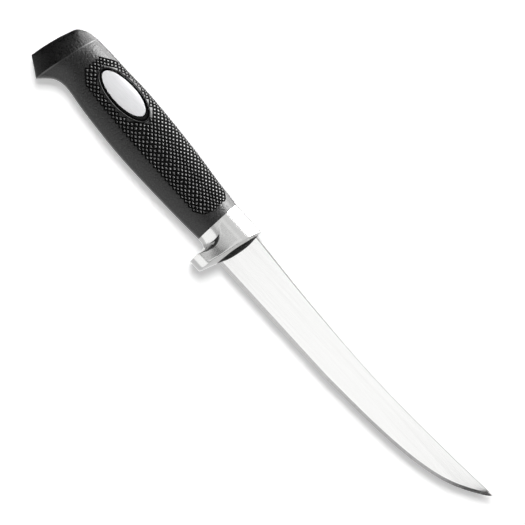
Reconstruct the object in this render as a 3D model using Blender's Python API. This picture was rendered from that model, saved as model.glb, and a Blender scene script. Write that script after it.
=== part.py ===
"""Carving knife with a rubber handle, a polished guard and a slim upswept blade.

The knife lies on its side as on a table: +X runs along the blade to the tip, +Y to the spine, +Z up.
Pieces are drawn about the tang's axis, with X zero where the blade leaves the guard and Z zero in the
blade's middle plane. A parent empty then brings the middle of the knife's base to the world's origin.
"""

import math

import bmesh
import bpy
from mathutils import Vector

MM = 0.001

# Blade: one piece of steel with the hidden tang.
BLADE_LENGTH = 180 * MM
SPINE_HEIGHT = 11.9 * MM  # spine above the tang's axis, at the guard
SPINE_SAG = 4.3 * MM  # how far the hollow spine dips below that
SPINE_SAG_AT = 0.53  # share of the blade's length where the dip is deepest
TIP_HEIGHT = 11.8 * MM
EDGE_DROP = 11.1 * MM  # cutting edge below the axis, at the guard
STRAIGHT_EDGE = 78 * MM  # length of edge and flat ground face before the belly starts
STOCK_HALF = 1.1 * MM
EDGE_HALF = 0.3 * MM  # half thickness where the face meets the sharpened bevel
TIP_HALF = 0.2 * MM
TIP_BLUNT = 0.4 * MM  # taken off the very end of the tip
BEVEL_WIDTH = 1.7 * MM
SLOPE_RUN = 1 * MM  # to each side of a place where the edge's slope is read
GRIND_START = 4.4 * MM  # behind the datum, hidden in the guard
GRIND_RUN = 0.8 * MM  # over which the stock falls to the ground faces
ROOT_RELIEF = 0.1 * MM  # how far the faces dip below their planes at that start, under the seal
SPINE_CHAMFER = 0.25 * MM
BLADE_STEPS = 36

# Tang
TANG_LENGTH = 92 * MM  # from the shoulders to the end
TANG_HEIGHT = 10 * MM
TANG_END_HEIGHT = 7 * MM
TANG_RISE = 3.5 * MM  # how far its end lies above the axis
LOCK_HOLE_RADIUS = 2.2 * MM
LOCK_HOLES = (34 * MM, 76 * MM)  # behind the shoulders

# Guard
GUARD_LENGTH = 17.3 * MM  # behind the blade's datum
QUILLON_DROP = 21.5 * MM  # lowest point below the axis
QUILLON_ROUND = 5.6 * MM  # height of its rounded end
NECK_DROP = 2.85 * MM  # how far the neck's belly sinks before the quillon
FRONT_BOW = 3.9 * MM  # how far its bowed front falls back to the sides, where it is fullest
BOW_LEAST_HALF = 1 * MM  # least half thickness that the bow is laid over
GUARD_RIM = 1.1 * MM
MOUTH_BORDER = 0.5 * MM  # metal between the rounded rim and the oval mouth that the seal fills
MOUTH_BEYOND_BLADE = 1 * MM  # how far the mouth runs past the blade's spine and edge
MOUTH_FLOOR = 4 * MM  # behind the datum
MOUTH_POWER = 2.4
SHOULDER_SEAT = 7 * MM  # where the blade's shoulders rest, behind the datum
SPIGOT_DEPTH = 5 * MM  # pocket at the back that the core plugs into

# Handle
HANDLE_LENGTH = 125.65 * MM
HANDLE_HEIGHT = 32 * MM  # about its deepest, which the outline's heights are shares of
HALF_THICKNESS = 10.2 * MM
SECTION_POWER = 2.3  # 2 is an ellipse, more is squarer
EGG = 0.07  # how much fuller the spine side is than the belly
GRIP_WALL = 3.2 * MM
CORE_WALL = 6 * MM  # core beyond the tang's end
PLUG_ROOT = 2 * MM  # how deep the plugs of the lock holes are rooted in the core
HOOK_STATION = 7  # from here on the grip's sections lie closer, round the hooked butt

# Badge on the upper side, an oval plate in an oval dish of the grip
BADGE_HALF_LENGTH = 14.9 * MM
BADGE_HALF_HEIGHT = 5.85 * MM
BADGE_BEHIND_GUARD = 79.2 * MM
BADGE_ABOVE_AXIS = 11.25 * MM
BADGE_PLATE = 1 * MM
DISH_HALF_LENGTH = 17.3 * MM
DISH_HALF_HEIGHT = 7.4 * MM
DISH_FORWARD = 0.8 * MM  # of the badge's middle
DISH_LOWER = 0.35 * MM
DISH_DEPTH = 0.8 * MM  # from the grip's surface to the plate
DISH_WALL = 0.3 * MM  # upright part of the dish's wall, under its lip
LIP_RADIUS = 0.4 * MM
BADGE_SIDES = 48

FIT = 0.2 * MM  # play round the blade and tang
JOINT = 0.3 * MM  # gap where one moulded or cast face meets another
CUT_BEYOND = 1 * MM  # how far a cutter or a joined end runs past the face that it meets
AROUND = 40  # points round a section, a multiple of 4

# Handle outline: share of the handle's length and share of its height at the spine, the same two at
# the belly, share of the half thickness. Stations lean over into the butt.
STATIONS = (
    (0.000, 0.4766, 0.000, -0.3328, 1.00),
    (0.106, 0.5156, 0.106, -0.3531, 1.00),
    (0.251, 0.5750, 0.251, -0.3672, 1.00),
    (0.396, 0.6188, 0.396, -0.3734, 1.00),
    (0.497, 0.6391, 0.497, -0.3641, 1.00),
    (0.592, 0.6500, 0.592, -0.3406, 1.00),
    (0.680, 0.6438, 0.696, -0.3047, 0.99),
    (0.751, 0.6391, 0.783, -0.2609, 0.98),
    (0.799, 0.6375, 0.827, -0.2594, 0.97),
    (0.835, 0.6328, 0.863, -0.3031, 0.96),
    (0.855, 0.6281, 0.891, -0.3969, 0.95),
    (0.866, 0.6266, 0.917, -0.5156, 0.94),
)
# Butt outline from the spine to the butt's corner: share of the section's height, then shares of
# the handle's length and height. A straight cut runs on to the beak.
BUTT = (
    (1.00, 0.866, 0.6266),
    (0.93, 0.906, 0.6000),
    (0.83, 0.930, 0.5594),
    (0.70, 0.954, 0.4813),
    (0.50, 0.968, 0.3281),
    (0.20, 0.981, 0.1406),
    (-0.20, 0.992, -0.0781),
    (-0.62, 1.000, -0.3125),
)
# Edge of the guard's flat side, where it drops to the neck: share of the way down to the quillon's
# end, share of the guard's length from its back.
SCOOP = (
    (0.00, 0.10),
    (0.06, 0.26),
    (0.15, 0.405),
    (0.255, 0.48),
    (0.36, 0.50),
    (0.55, 0.44),
    (0.68, 0.37),
    (0.79, 0.33),
    (1.00, 0.312),
)
# Front face of the guard: share of its height, reach ahead of the datum in the middle plane, and
# how far the face falls back from there to the sides, both as shares of the bow.
FRONT = (
    (0.00, -1.256, 0.103),
    (0.275, -0.410, 0.667),
    (0.42, 0.128, 0.923),
    (0.60, 0.462, 1.000),
    (0.75, 0.579, 0.872),
    (0.88, 0.487, 0.513),
    (1.00, 0.359, 0.026),
)


def through(knots, place):
    """Value at a place on the smooth curve through the knots, a list of (place, value) in rising order."""
    places = [knot[0] for knot in knots]
    values = [knot[1] for knot in knots]
    if place <= places[0]:
        return values[0]
    if place >= places[-1]:
        return values[-1]
    i = max(n for n in range(len(places) - 1) if places[n] <= place)
    step = places[i + 1] - places[i]
    slopes = []
    for n in (i, i + 1):
        before, after = max(n - 1, 0), min(n + 1, len(places) - 1)
        slopes.append((values[after] - values[before]) / (places[after] - places[before]))
    t = (place - places[i]) / step
    return (
        (1 + 2 * t) * (1 - t) ** 2 * values[i]
        + t * (1 - t) ** 2 * step * slopes[0]
        + t * t * (3 - 2 * t) * values[i + 1]
        + t * t * (t - 1) * step * slopes[1]
    )


def mix(a, b, share):
    return a + (b - a) * share


def material(name, colour, roughness, metallic=0.0):
    made = bpy.data.materials.new(name)
    made.use_nodes = True
    shader = made.node_tree.nodes["Principled BSDF"]
    shader.inputs["Base Color"].default_value = (*colour, 1.0)
    shader.inputs["Roughness"].default_value = roughness
    shader.inputs["Metallic"].default_value = metallic
    return made


def piece(name, points, faces, finish, smooth_below=35):
    """An object of its own from points and faces, shaded smooth but for its sharp edges."""
    mesh = bpy.data.meshes.new(name)
    mesh.from_pydata([tuple(point) for point in points], [], faces)
    cleaner = bmesh.new()
    cleaner.from_mesh(mesh)
    bmesh.ops.recalc_face_normals(cleaner, faces=cleaner.faces)
    cleaner.to_mesh(mesh)
    cleaner.free()
    mesh.shade_smooth()
    mesh.set_sharp_from_angle(angle=math.radians(smooth_below))
    mesh.materials.append(finish)
    made = bpy.data.objects.new(name, mesh)
    bpy.context.scene.collection.objects.link(made)
    return made


def bands(first, count, around, ring=False):
    """Quads that join loops of points, which start at index first and follow each other."""
    faces = []
    for k in range(count if ring else count - 1):
        a, b = first + k * around, first + (k + 1) % count * around
        for i in range(around):
            j = (i + 1) % around
            faces.append((a + i, a + j, b + j, b + i))
    return faces


def skin(name, loops, finish, ring=False):
    """A body through loops of equally many points, closed by flat caps or, as a ring, by itself."""
    around = len(loops[0])
    points = [point for loop in loops for point in loop]
    faces = bands(0, len(loops), around, ring)
    if not ring:
        faces.append(tuple(range(around)))
        faces.append(tuple(range(len(points) - around, len(points))))
    return piece(name, points, faces, finish)


def combine(target, other, operation):
    """Cuts or adds another object for good, then removes it."""
    modifier = target.modifiers.new(operation.lower(), "BOOLEAN")
    modifier.operation = operation
    modifier.object = other
    modifier.solver = "EXACT"
    graph = bpy.context.evaluated_depsgraph_get()
    result = bpy.data.meshes.new_from_object(target.evaluated_get(graph))
    target.modifiers.clear()
    target.data = result
    bpy.data.objects.remove(other)


def rod(name, centre, radius, half_length, finish, sides=20):
    """A round bar along Z."""
    loops = []
    for z in (-half_length, half_length):
        loop = []
        for i in range(sides):
            turn = 2 * math.pi * i / sides
            loop.append(centre + Vector((radius * math.cos(turn), radius * math.sin(turn), z)))
        loops.append(loop)
    return skin(name, loops, finish)


def egg(height):
    """Swelling of a section towards the spine, at a height from -1 to 1."""
    return 1 + EGG * height * abs(height)


def section_point(turn):
    """Height from -1 to 1 and half width from -1 to 1 on the handle's section, from its spine round."""
    up, out = math.cos(turn), math.sin(turn)
    height = math.copysign(abs(up) ** (2 / SECTION_POWER), up)
    width = math.copysign(abs(out) ** (2 / SECTION_POWER), out)
    return height, width * egg(height)


TURNS = [2 * math.pi * i / AROUND for i in range(AROUND)]
GUARD_BACK = -GUARD_LENGTH
HANDLE_FRONT = GUARD_BACK - JOINT
SHOULDERS = -SHOULDER_SEAT
GROUND = -GRIND_START  # the ground faces run forward from here
ROOT_END = max(row[1] for row in FRONT) * FRONT_BOW + JOINT  # flat and hollow from here, clear of the guard


def station(number, inset=0.0):
    """Spine point, belly point and half thickness of the handle at a station, or inside a wall there."""
    marks = []
    for column in range(5):
        marks.append(through([(n, row[column]) for n, row in enumerate(STATIONS)], number))
    spine = Vector((HANDLE_FRONT - marks[0] * HANDLE_LENGTH, marks[1] * HANDLE_HEIGHT, 0))
    belly = Vector((HANDLE_FRONT - marks[2] * HANDLE_LENGTH, marks[3] * HANDLE_HEIGHT, 0))
    across = (spine - belly).normalized()
    return spine - across * inset, belly + across * inset, marks[4] * HALF_THICKNESS - inset


def handle_loop(number, inset=0.0, x=None):
    """Section of the handle at a station, flattened onto the plane at x where one is given."""
    spine, belly, half = station(number, inset)
    loop = []
    for turn in TURNS:
        height, width = section_point(turn)
        point = mix(belly, spine, (height + 1) / 2)
        loop.append(Vector((point.x if x is None else x, point.y, width * half)))
    return loop


def station_at(x, y):
    """Station number whose section passes through a place seen from the side, by halving."""
    low, high = 0.0, len(STATIONS) - 1.0
    for _ in range(24):
        middle = (low + high) / 2
        spine, belly, _ = station(middle)
        if mix(belly.x, spine.x, (y - belly.y) / (spine.y - belly.y)) > x:
            low = middle
        else:
            high = middle
    return (low + high) / 2


def surface_z(x, y):
    """Height of the handle's surface above the middle plane."""
    spine, belly, half = station(station_at(x, y))
    height = max(-0.999, min(0.999, (2 * y - spine.y - belly.y) / (spine.y - belly.y)))
    return half * (1 - abs(height) ** SECTION_POWER) ** (1 / SECTION_POWER) * egg(height)


def spine_y(x):
    """Height of the blade's spine, level inside the guard and hollow on the way to the tip."""
    knots = (
        (0.0, SPINE_HEIGHT),
        (SPINE_SAG_AT * 0.47, SPINE_HEIGHT - SPINE_SAG * 0.67),
        (SPINE_SAG_AT, SPINE_HEIGHT - SPINE_SAG),
        (0.81, mix(SPINE_HEIGHT - SPINE_SAG, TIP_HEIGHT, 0.44)),
        (1.0, TIP_HEIGHT),
    )
    return through(knots, (x - ROOT_END) / (BLADE_LENGTH - ROOT_END))


def edge_y(x):
    """Height of the cutting edge: straight, then an arc-like belly that rises to the tip."""
    rise = TIP_HEIGHT + EDGE_DROP
    knots = (
        (0.0, 0.0),
        (0.30, 0.065),
        (0.54, 0.17),
        (0.715, 0.325),
        (0.833, 0.52),
        (0.955, 0.835),
        (1.0, 1.0),
    )
    share = max(0.0, (x - STRAIGHT_EDGE) / (BLADE_LENGTH - STRAIGHT_EDGE))
    return -EDGE_DROP + rise * through(knots, share)


FACE_TOP = SPINE_HEIGHT - SPINE_CHAMFER
FACE_SLOPE = (STOCK_HALF - EDGE_HALF) / (FACE_TOP + EDGE_DROP - BEVEL_WIDTH)


def bevel_height(x):
    """Height of the sharpened bevel on a face, which keeps its width round the belly."""
    slope = (edge_y(x + SLOPE_RUN) - edge_y(x - SLOPE_RUN)) / (2 * SLOPE_RUN)
    return min(BEVEL_WIDTH * math.hypot(1, slope), 0.75 * (spine_y(x) - edge_y(x)))


def face_half(x):
    """Half thickness of the blade at its spine. The faces are flat to where the belly starts."""
    shoulder = -EDGE_DROP + BEVEL_WIDTH
    flat = EDGE_HALF + FACE_SLOPE * (spine_y(min(x, STRAIGHT_EDGE)) - SPINE_CHAMFER - shoulder)
    share = max(0.0, (x - STRAIGHT_EDGE) / (BLADE_LENGTH - STRAIGHT_EDGE))
    return mix(flat, TIP_HALF, share)


def blade_loop(x):
    """Wedge section of the blade, from the middle of the spine round by the edge."""
    top, bottom = spine_y(x), edge_y(x)
    half = face_half(x)
    share = max(0.0, (x - STRAIGHT_EDGE) / (BLADE_LENGTH - STRAIGHT_EDGE))
    edge_half = mix(EDGE_HALF, TIP_HALF * 0.7, share)
    if x < GROUND:
        edge_half = STOCK_HALF
    elif x < ROOT_END:
        relief = ROOT_RELIEF * (ROOT_END - x) / (ROOT_END - GROUND)
        half, edge_half = half - relief, edge_half - relief
    chamfer = min(SPINE_CHAMFER, 0.1 * (top - bottom))
    side = (
        (top, half - chamfer),
        (top - chamfer, half),
        (bottom + bevel_height(x), edge_half),
    )
    right = [Vector((x, y, z)) for y, z in side]
    left = [Vector((x, y, -z)) for y, z in reversed(side)]
    return [*right, Vector((x, bottom, 0)), *left]


def blade_places():
    """Places of the blade's sections: few on the straight part, and closer together to the tip."""
    straight = [SHOULDERS, GROUND - GRIND_RUN, GROUND, ROOT_END]
    steps = BLADE_STEPS // 3
    straight += [mix(ROOT_END, STRAIGHT_EDGE, (i + 1) / steps) for i in range(steps)]
    rest = BLADE_STEPS - steps
    end = BLADE_LENGTH - TIP_BLUNT
    return straight + [mix(STRAIGHT_EDGE, end, 1 - (1 - (i + 1) / rest) ** 1.5) for i in range(rest)]


def tang_loop(x, grow=0.0):
    """Upright rectangle of the tang, or of the slot round it."""
    share = (SHOULDERS - x) / TANG_LENGTH
    middle = TANG_RISE * share
    half_height = mix(TANG_HEIGHT, TANG_END_HEIGHT, share) / 2 + grow
    half = STOCK_HALF + grow
    corners = ((half_height, half), (-half_height, half), (-half_height, -half), (half_height, -half))
    return [Vector((x, middle + y, z)) for y, z in corners]


def build_blade(steel):
    """The blade with its tang: a lofted wedge, a tapered bar let into its back, and the lock holes."""
    loops = [blade_loop(x) for x in blade_places()]
    blade = skin("blade", loops, steel)
    tang = skin("tang", [tang_loop(SHOULDERS + CUT_BEYOND), tang_loop(SHOULDERS - TANG_LENGTH)], steel)
    combine(blade, tang, "UNION")
    for behind in LOCK_HOLES:
        centre = Vector((SHOULDERS - behind, TANG_RISE * behind / TANG_LENGTH, 0))
        hole = rod("hole", centre, LOCK_HOLE_RADIUS, STOCK_HALF + CUT_BEYOND, steel)
        combine(blade, hole, "DIFFERENCE")
    return blade


NECK_TOP = STATIONS[0][1] * HANDLE_HEIGHT
NECK_BOTTOM = STATIONS[0][3] * HANDLE_HEIGHT
NECK_MIDDLE = (NECK_TOP + NECK_BOTTOM) / 2
NECK_HALF = (NECK_TOP - NECK_BOTTOM) / 2


def plate_half(y):
    """Half thickness of the guard at a height: the handle's section above, flat below, a rounded end."""
    if y >= NECK_MIDDLE:
        height = min(1.0, (y - NECK_MIDDLE) / NECK_HALF)
        return HALF_THICKNESS * (1 - height**SECTION_POWER) ** (1 / SECTION_POWER) * egg(height)
    into = max(0.0, (-QUILLON_DROP + QUILLON_ROUND - y) / QUILLON_ROUND)
    return HALF_THICKNESS * math.sqrt(max(0.0, 1 - into * into))


def guard_front(y, z):
    """How far the guard's bowed front face reaches at a point of it."""
    share = (y + QUILLON_DROP) / (NECK_TOP + QUILLON_DROP)
    reach = through([(row[0], row[1]) for row in FRONT], share)
    bow = through([(row[0], row[2]) for row in FRONT], share)
    half = max(plate_half(y), BOW_LEAST_HALF)
    return FRONT_BOW * (reach - bow * min(1.0, (z / half) ** 2))


def scoop_x(y):
    """Where the guard's flat side ends towards the handle, at a height."""
    share = (NECK_MIDDLE - y) / (NECK_MIDDLE + QUILLON_DROP)
    return GUARD_BACK + GUARD_LENGTH * through(SCOOP, share)


def guard_outline(swell, sink):
    """Height and half thickness round the guard, between the neck (swell 0) and the plate (swell 1)."""
    outline = []
    for turn in TURNS:
        height, width = section_point(turn)
        y = NECK_MIDDLE + NECK_HALF * height
        z = HALF_THICKNESS * width
        if height < 0:
            low = NECK_MIDDLE + height * (NECK_MIDDLE + QUILLON_DROP)
            neck = NECK_MIDDLE + height * (NECK_HALF + NECK_DROP * sink)
            y = mix(neck, low, swell)
            z = mix(z, math.copysign(plate_half(low), z), swell)
        outline.append((y, z))
    return outline


def upright_share(turn):
    """Share of the way up an upright slot, whose ends are square across three points of the outline."""
    return (1 + max(-1.0, min(1.0, math.cos(turn) / math.cos(TURNS[1])))) / 2


def blade_hole(grow):
    """Height and half thickness round the ground blade where it leaves the guard, with play round it."""
    shoulder = -EDGE_DROP + BEVEL_WIDTH
    outline = []
    for i, turn in enumerate(TURNS):
        y = mix(-EDGE_DROP - grow, SPINE_HEIGHT + grow, upright_share(turn))
        face = EDGE_HALF + FACE_SLOPE * (y - shoulder)
        edge = EDGE_HALF * (y + EDGE_DROP) / BEVEL_WIDTH
        z = max(0.0, min(face, edge, STOCK_HALF)) + grow
        outline.append((y, 0.0 if i % (AROUND // 2) == 0 else math.copysign(z, math.sin(turn))))
    return outline


def slot_outline(low, high):
    """Height and half thickness round an upright slot for the steel's full thickness."""
    outline = []
    for i, turn in enumerate(TURNS):
        y = mix(low, high, upright_share(turn))
        z = 0.0 if i % (AROUND // 2) == 0 else math.copysign(STOCK_HALF + FIT, math.sin(turn))
        outline.append((y - FIT if y < 0 else y + FIT, z))
    return outline


def mouth_outline(shrink):
    """Height and half thickness round the oval mouth of the guard, or of the seal inside it."""
    middle = (SPINE_HEIGHT - EDGE_DROP) / 2
    half_height = (SPINE_HEIGHT + EDGE_DROP) / 2 + MOUTH_BEYOND_BLADE
    half_width = HALF_THICKNESS - GUARD_RIM - MOUTH_BORDER
    outline = []
    for turn in TURNS:
        up, out = math.cos(turn), math.sin(turn)
        height = math.copysign(abs(up) ** (2 / MOUTH_POWER), up) * (half_height - shrink)
        width = math.copysign(abs(out) ** (2 / MOUTH_POWER), out) * (half_width - shrink)
        outline.append((middle + height, width))
    return outline


def blend(a, b, share):
    """An outline part of the way from one to another."""
    return [(mix(p[0], q[0], share), mix(p[1], q[1], share)) for p, q in zip(a, b)]


def front_loop(outline):
    """An outline laid on the guard's bowed front."""
    return [Vector((guard_front(y, z), y, z)) for y, z in outline]


def guard_loops():
    """Loops over the guard: back, neck, scoop, flat side, bowed front, then in by mouth and slots."""
    loops = []
    for along, swell in (
        (0.0, 0.0),
        (0.3, 0.0),
        (0.55, 0.0),
        (0.75, 0.0),
        (0.86, 0.05),
        (0.93, 0.17),
        (0.97, 0.42),
        (1.0, 0.82),
        (1.03, 1.0),
    ):
        loop = []
        for y, z in guard_outline(swell, min(1.0, along) ** 2):
            loop.append(Vector((GUARD_BACK + along * (scoop_x(y) - GUARD_BACK), y, z)))
        loops.append(loop)
    plate = guard_outline(1.0, 1.0)
    loops.append([Vector((mix(scoop_x(y), guard_front(y, z), 0.55), y, z)) for y, z in plate])
    middle = (NECK_TOP - QUILLON_DROP) / 2
    shrink_y = 1 - GUARD_RIM / (NECK_TOP - middle)
    shrink_z = 1 - GUARD_RIM / HALF_THICKNESS
    rim = [(middle + (y - middle) * shrink_y, z * shrink_z) for y, z in plate]
    for turn in (0, 45):
        back = GUARD_RIM * (1 - math.sin(math.radians(turn)))
        halfway = blend(plate, rim, 1 - math.cos(math.radians(turn)))
        loops.append([Vector((guard_front(y, z) - back, y, z)) for y, z in halfway])
    mouth = mouth_outline(0.0)
    for share in (0.0, 0.5, 1.0):
        loops.append(front_loop(blend(rim, mouth, share)))
    loops.append([Vector((-MOUTH_FLOOR, y, z)) for y, z in mouth])
    slot = slot_outline(-EDGE_DROP, SPINE_HEIGHT)
    ends = (tang_loop(SHOULDERS), tang_loop(GUARD_BACK))
    tang = slot_outline(min(end[1].y for end in ends), max(end[0].y for end in ends))
    seat = SHOULDERS - FIT
    pocket = GUARD_BACK + SPIGOT_DEPTH
    for x, outline in ((-MOUTH_FLOOR, slot), (seat, slot), (seat, tang), (pocket, tang)):
        loops.append([Vector((x, y, z)) for y, z in outline])
    loops.append(handle_loop(0, GRIP_WALL, pocket))
    loops.append(handle_loop(0, GRIP_WALL, GUARD_BACK))
    return loops


def build_seal(compound):
    """Black filling of the guard's mouth, bowed like the guard's front, with the blade's hole in it."""
    outer, hole = mouth_outline(JOINT), blade_hole(JOINT)
    floor = JOINT - MOUTH_FLOOR
    loops = [front_loop(blend(outer, hole, share)) for share in (0.0, 0.2, 0.4, 0.6, 0.8, 1.0)]
    loops.append([Vector((floor, y, z)) for y, z in hole])
    loops.append([Vector((floor, y, z)) for y, z in outer])
    return skin("seal", loops, compound, ring=True)


def build_guard(metal):
    return skin("guard", guard_loops(), metal, ring=True)


def core_stations():
    """Stations of the handle that the core runs through, up to a wall beyond the tang's end."""
    end = station_at(SHOULDERS - TANG_LENGTH - CORE_WALL, TANG_RISE)
    return [*range(math.ceil(end)), end]


def build_core(plastic):
    """Hard core moulded round the tang: a spigot in the guard, a body in the grip, plugs in the tang."""
    inset = GRIP_WALL + JOINT
    front = GUARD_BACK + SPIGOT_DEPTH - JOINT
    loops = [handle_loop(0, inset, front)]
    loops += [handle_loop(number, inset) for number in core_stations()]
    core = skin("handle_core", loops, plastic)
    end = SHOULDERS - TANG_LENGTH - FIT
    slot = skin("tang_slot", [tang_loop(front + CUT_BEYOND, FIT), tang_loop(end, FIT)], plastic)
    combine(core, slot, "DIFFERENCE")
    for behind in LOCK_HOLES:
        centre = Vector((SHOULDERS - behind, TANG_RISE * behind / TANG_LENGTH, 0))
        plug = rod("plug", centre, LOCK_HOLE_RADIUS - FIT, STOCK_HALF + PLUG_ROOT, plastic)
        combine(core, plug, "UNION")
    return core


def butt_point(height, corner_height):
    """Outline of the butt in the middle plane at a share of the section's height."""
    beak = STATIONS[-1]
    corner = BUTT[-1]
    if height >= corner_height:
        share = (1 - height) / (1 - corner_height)
        place = mix(BUTT[0][0], corner[0], share)
        along = through([(-row[0], row[1]) for row in BUTT], -place)
        rise = through([(-row[0], row[2]) for row in BUTT], -place)
    else:
        share = (corner_height - height) / (corner_height + 1)
        along, rise = mix(corner[1], beak[2], share), mix(corner[2], beak[3], share)
    return Vector((HANDLE_FRONT - along * HANDLE_LENGTH, rise * HANDLE_HEIGHT, 0))


def butt_rows(points, first, across=8):
    """Closes the last loop of the grip with a blunt rounded butt, row by row from side to side."""
    loop = points[first:]
    half = AROUND // 2
    heights = [section_point(turn)[0] for turn in TURNS]
    corner = min(range(1, half), key=lambda i: abs(heights[i] - BUTT[-1][0]))
    rows = [[first] * (across + 1)]
    for i in range(1, half):
        end = butt_point(heights[i], heights[corner])
        row = [first + i]
        for j in range(1, across):
            q = 1 - 2 * j / across
            spot = mix(end, Vector((loop[i].x, loop[i].y, 0)), q * q)
            points.append(Vector((spot.x, spot.y, q * loop[i].z)))
            row.append(len(points) - 1)
        row.append(first + AROUND - i)
        rows.append(row)
    rows.append([first + half] * (across + 1))
    faces = []
    for upper, lower in zip(rows, rows[1:]):
        for j in range(across):
            corners = (upper[j], upper[j + 1], lower[j + 1], lower[j])
            faces.append(tuple(dict.fromkeys(corners)))
    return faces


def drape(half_length, half_height, depth, share=1.0, forward=0.0, lower=0.0):
    """An oval loop about the badge, or a share of it, laid at a depth below the grip's surface."""
    middle_x = GUARD_BACK - BADGE_BEHIND_GUARD + forward
    middle_y = BADGE_ABOVE_AXIS - lower
    loop = []
    for i in range(BADGE_SIDES):
        turn = 2 * math.pi * i / BADGE_SIDES
        x = middle_x + half_length * share * math.cos(turn)
        y = middle_y + half_height * share * math.sin(turn)
        loop.append(Vector((x, y, surface_z(x, y) - depth)))
    return loop


def badge_sheet(depth, grow=0.0):
    """Loops from the badge's middle out to its outline, or to an outline grown by some play."""
    length, height = BADGE_HALF_LENGTH + grow, BADGE_HALF_HEIGHT + grow
    return [drape(length, height, depth, share) for share in (0.15, 0.45, 0.75, 1.0)]


def dish_oval(depth):
    return drape(DISH_HALF_LENGTH, DISH_HALF_HEIGHT, depth, 1.0, DISH_FORWARD, DISH_LOWER)


def badge_seat(rubber):
    """What the grip loses under its badge: the plate's pocket and the sloping dish round it."""
    loops = badge_sheet(DISH_DEPTH + BADGE_PLATE + JOINT, FIT)
    loops.append(badge_sheet(DISH_DEPTH, FIT)[-1])
    loops.append(dish_oval(DISH_WALL))
    top = HALF_THICKNESS + LIP_RADIUS + CUT_BEYOND
    loops.append([Vector((point.x, point.y, top)) for point in loops[-1]])
    return skin("seat", loops, rubber)


def dish_lip(rubber, sides=8):
    """Raised lip on the grip's surface along the dish's edge."""
    line = dish_oval(0.0)
    loops = []
    for i, spot in enumerate(line):
        forward = (line[(i + 1) % len(line)] - line[i - 1]).normalized()
        side = forward.cross(Vector((0, 0, 1))).normalized()
        up = side.cross(forward)
        turns = [2 * math.pi * n / sides for n in range(sides)]
        loops.append([spot + (side * math.cos(t) + up * math.sin(t)) * LIP_RADIUS for t in turns])
    return skin("lip", loops, rubber, ring=True)


def build_grip(rubber):
    """Soft moulding over the core: outer skin with a blunt butt and beak, a cavity, the badge's seat."""
    last = len(STATIONS) - 1
    numbers = [*range(HOOK_STATION), *[n / 2 for n in range(2 * HOOK_STATION, 2 * last + 1)]]
    loops = [handle_loop(0, GRIP_WALL)] + [handle_loop(n) for n in numbers]
    points = [point for loop in loops for point in loop]
    faces = bands(0, len(loops), AROUND)
    faces += butt_rows(points, len(points) - AROUND)
    places = core_stations()
    inner = [handle_loop(number, GRIP_WALL) for number in places[1:-1]]
    inner.append([point - JOINT * Vector((1, 0, 0)) for point in handle_loop(places[-1], GRIP_WALL)])
    start = len(points)
    points += [point for loop in inner for point in loop]
    faces += bands(start, len(inner), AROUND)
    for i in range(AROUND):
        j = (i + 1) % AROUND
        faces.append((i, start + i, start + j, j))
    faces.append(tuple(range(len(points) - AROUND, len(points))))
    grip = piece("grip", points, faces, rubber)
    combine(grip, dish_lip(rubber), "UNION")
    combine(grip, badge_seat(rubber), "DIFFERENCE")
    return grip


def build_badge(metal):
    """Oval plate that follows the grip's surface, glued to its pocket's floor."""
    low = badge_sheet(DISH_DEPTH + BADGE_PLATE)
    return skin("badge_plate", low + badge_sheet(DISH_DEPTH)[::-1], metal)


def settle():
    """Hangs every piece on one empty and brings the middle of the knife's base to the origin."""
    pieces = [item for item in bpy.context.scene.objects if item.type == "MESH"]
    corners = [vertex.co for item in pieces for vertex in item.data.vertices]
    low = [min(corner[axis] for corner in corners) for axis in range(3)]
    high = [max(corner[axis] for corner in corners) for axis in range(3)]
    knife = bpy.data.objects.new("knife", None)
    bpy.context.scene.collection.objects.link(knife)
    knife.location = (-(low[0] + high[0]) / 2, -(low[1] + high[1]) / 2, -low[2])
    for item in pieces:
        item.parent = knife


def main():
    for item in list(bpy.data.objects):
        bpy.data.objects.remove(item)
    steel = material("polished_steel", (0.78, 0.78, 0.79), 0.15, 1.0)
    metal = material("polished_guard", (0.72, 0.72, 0.72), 0.2, 1.0)
    rubber = material("black_rubber", (0.02, 0.02, 0.021), 0.55)
    plastic = material("core_plastic", (0.05, 0.05, 0.05), 0.4)
    foil = material("badge_silver", (0.82, 0.82, 0.83), 0.3, 1.0)
    compound = material("black_compound", (0.015, 0.015, 0.015), 0.5)
    build_blade(steel)
    build_guard(metal)
    build_seal(compound)
    build_core(plastic)
    build_grip(rubber)
    build_badge(foil)
    settle()


main()
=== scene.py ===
import math

import bmesh
import bpy
import numpy as np
from bpy.props import FloatProperty, FloatVectorProperty, IntProperty, PointerProperty
from mathutils import Matrix, Vector


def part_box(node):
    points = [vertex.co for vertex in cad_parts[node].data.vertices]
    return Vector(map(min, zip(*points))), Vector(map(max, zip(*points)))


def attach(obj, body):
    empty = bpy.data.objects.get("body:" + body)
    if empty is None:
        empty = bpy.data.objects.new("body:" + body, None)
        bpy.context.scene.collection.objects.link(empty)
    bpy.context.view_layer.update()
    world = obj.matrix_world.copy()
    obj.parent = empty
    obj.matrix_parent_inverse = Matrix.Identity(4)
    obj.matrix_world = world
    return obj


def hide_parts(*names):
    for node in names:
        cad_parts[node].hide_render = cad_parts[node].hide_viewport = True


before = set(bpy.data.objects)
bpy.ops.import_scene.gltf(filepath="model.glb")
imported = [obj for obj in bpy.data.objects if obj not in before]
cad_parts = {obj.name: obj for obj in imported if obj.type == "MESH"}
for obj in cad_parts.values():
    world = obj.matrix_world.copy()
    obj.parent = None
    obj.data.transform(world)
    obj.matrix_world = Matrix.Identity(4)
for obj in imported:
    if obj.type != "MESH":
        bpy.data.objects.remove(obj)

bl_info = {
    "name": "Carving knife",
    "version": (1, 0, 0),
    "blender": (4, 5, 0),
    "location": "View3D > Sidebar > Knife",
    "description": "Dresses the solids of a carving knife: blade, polished guard, studded rubber grip",
    "category": "Object",
}

MM = 0.001

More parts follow.
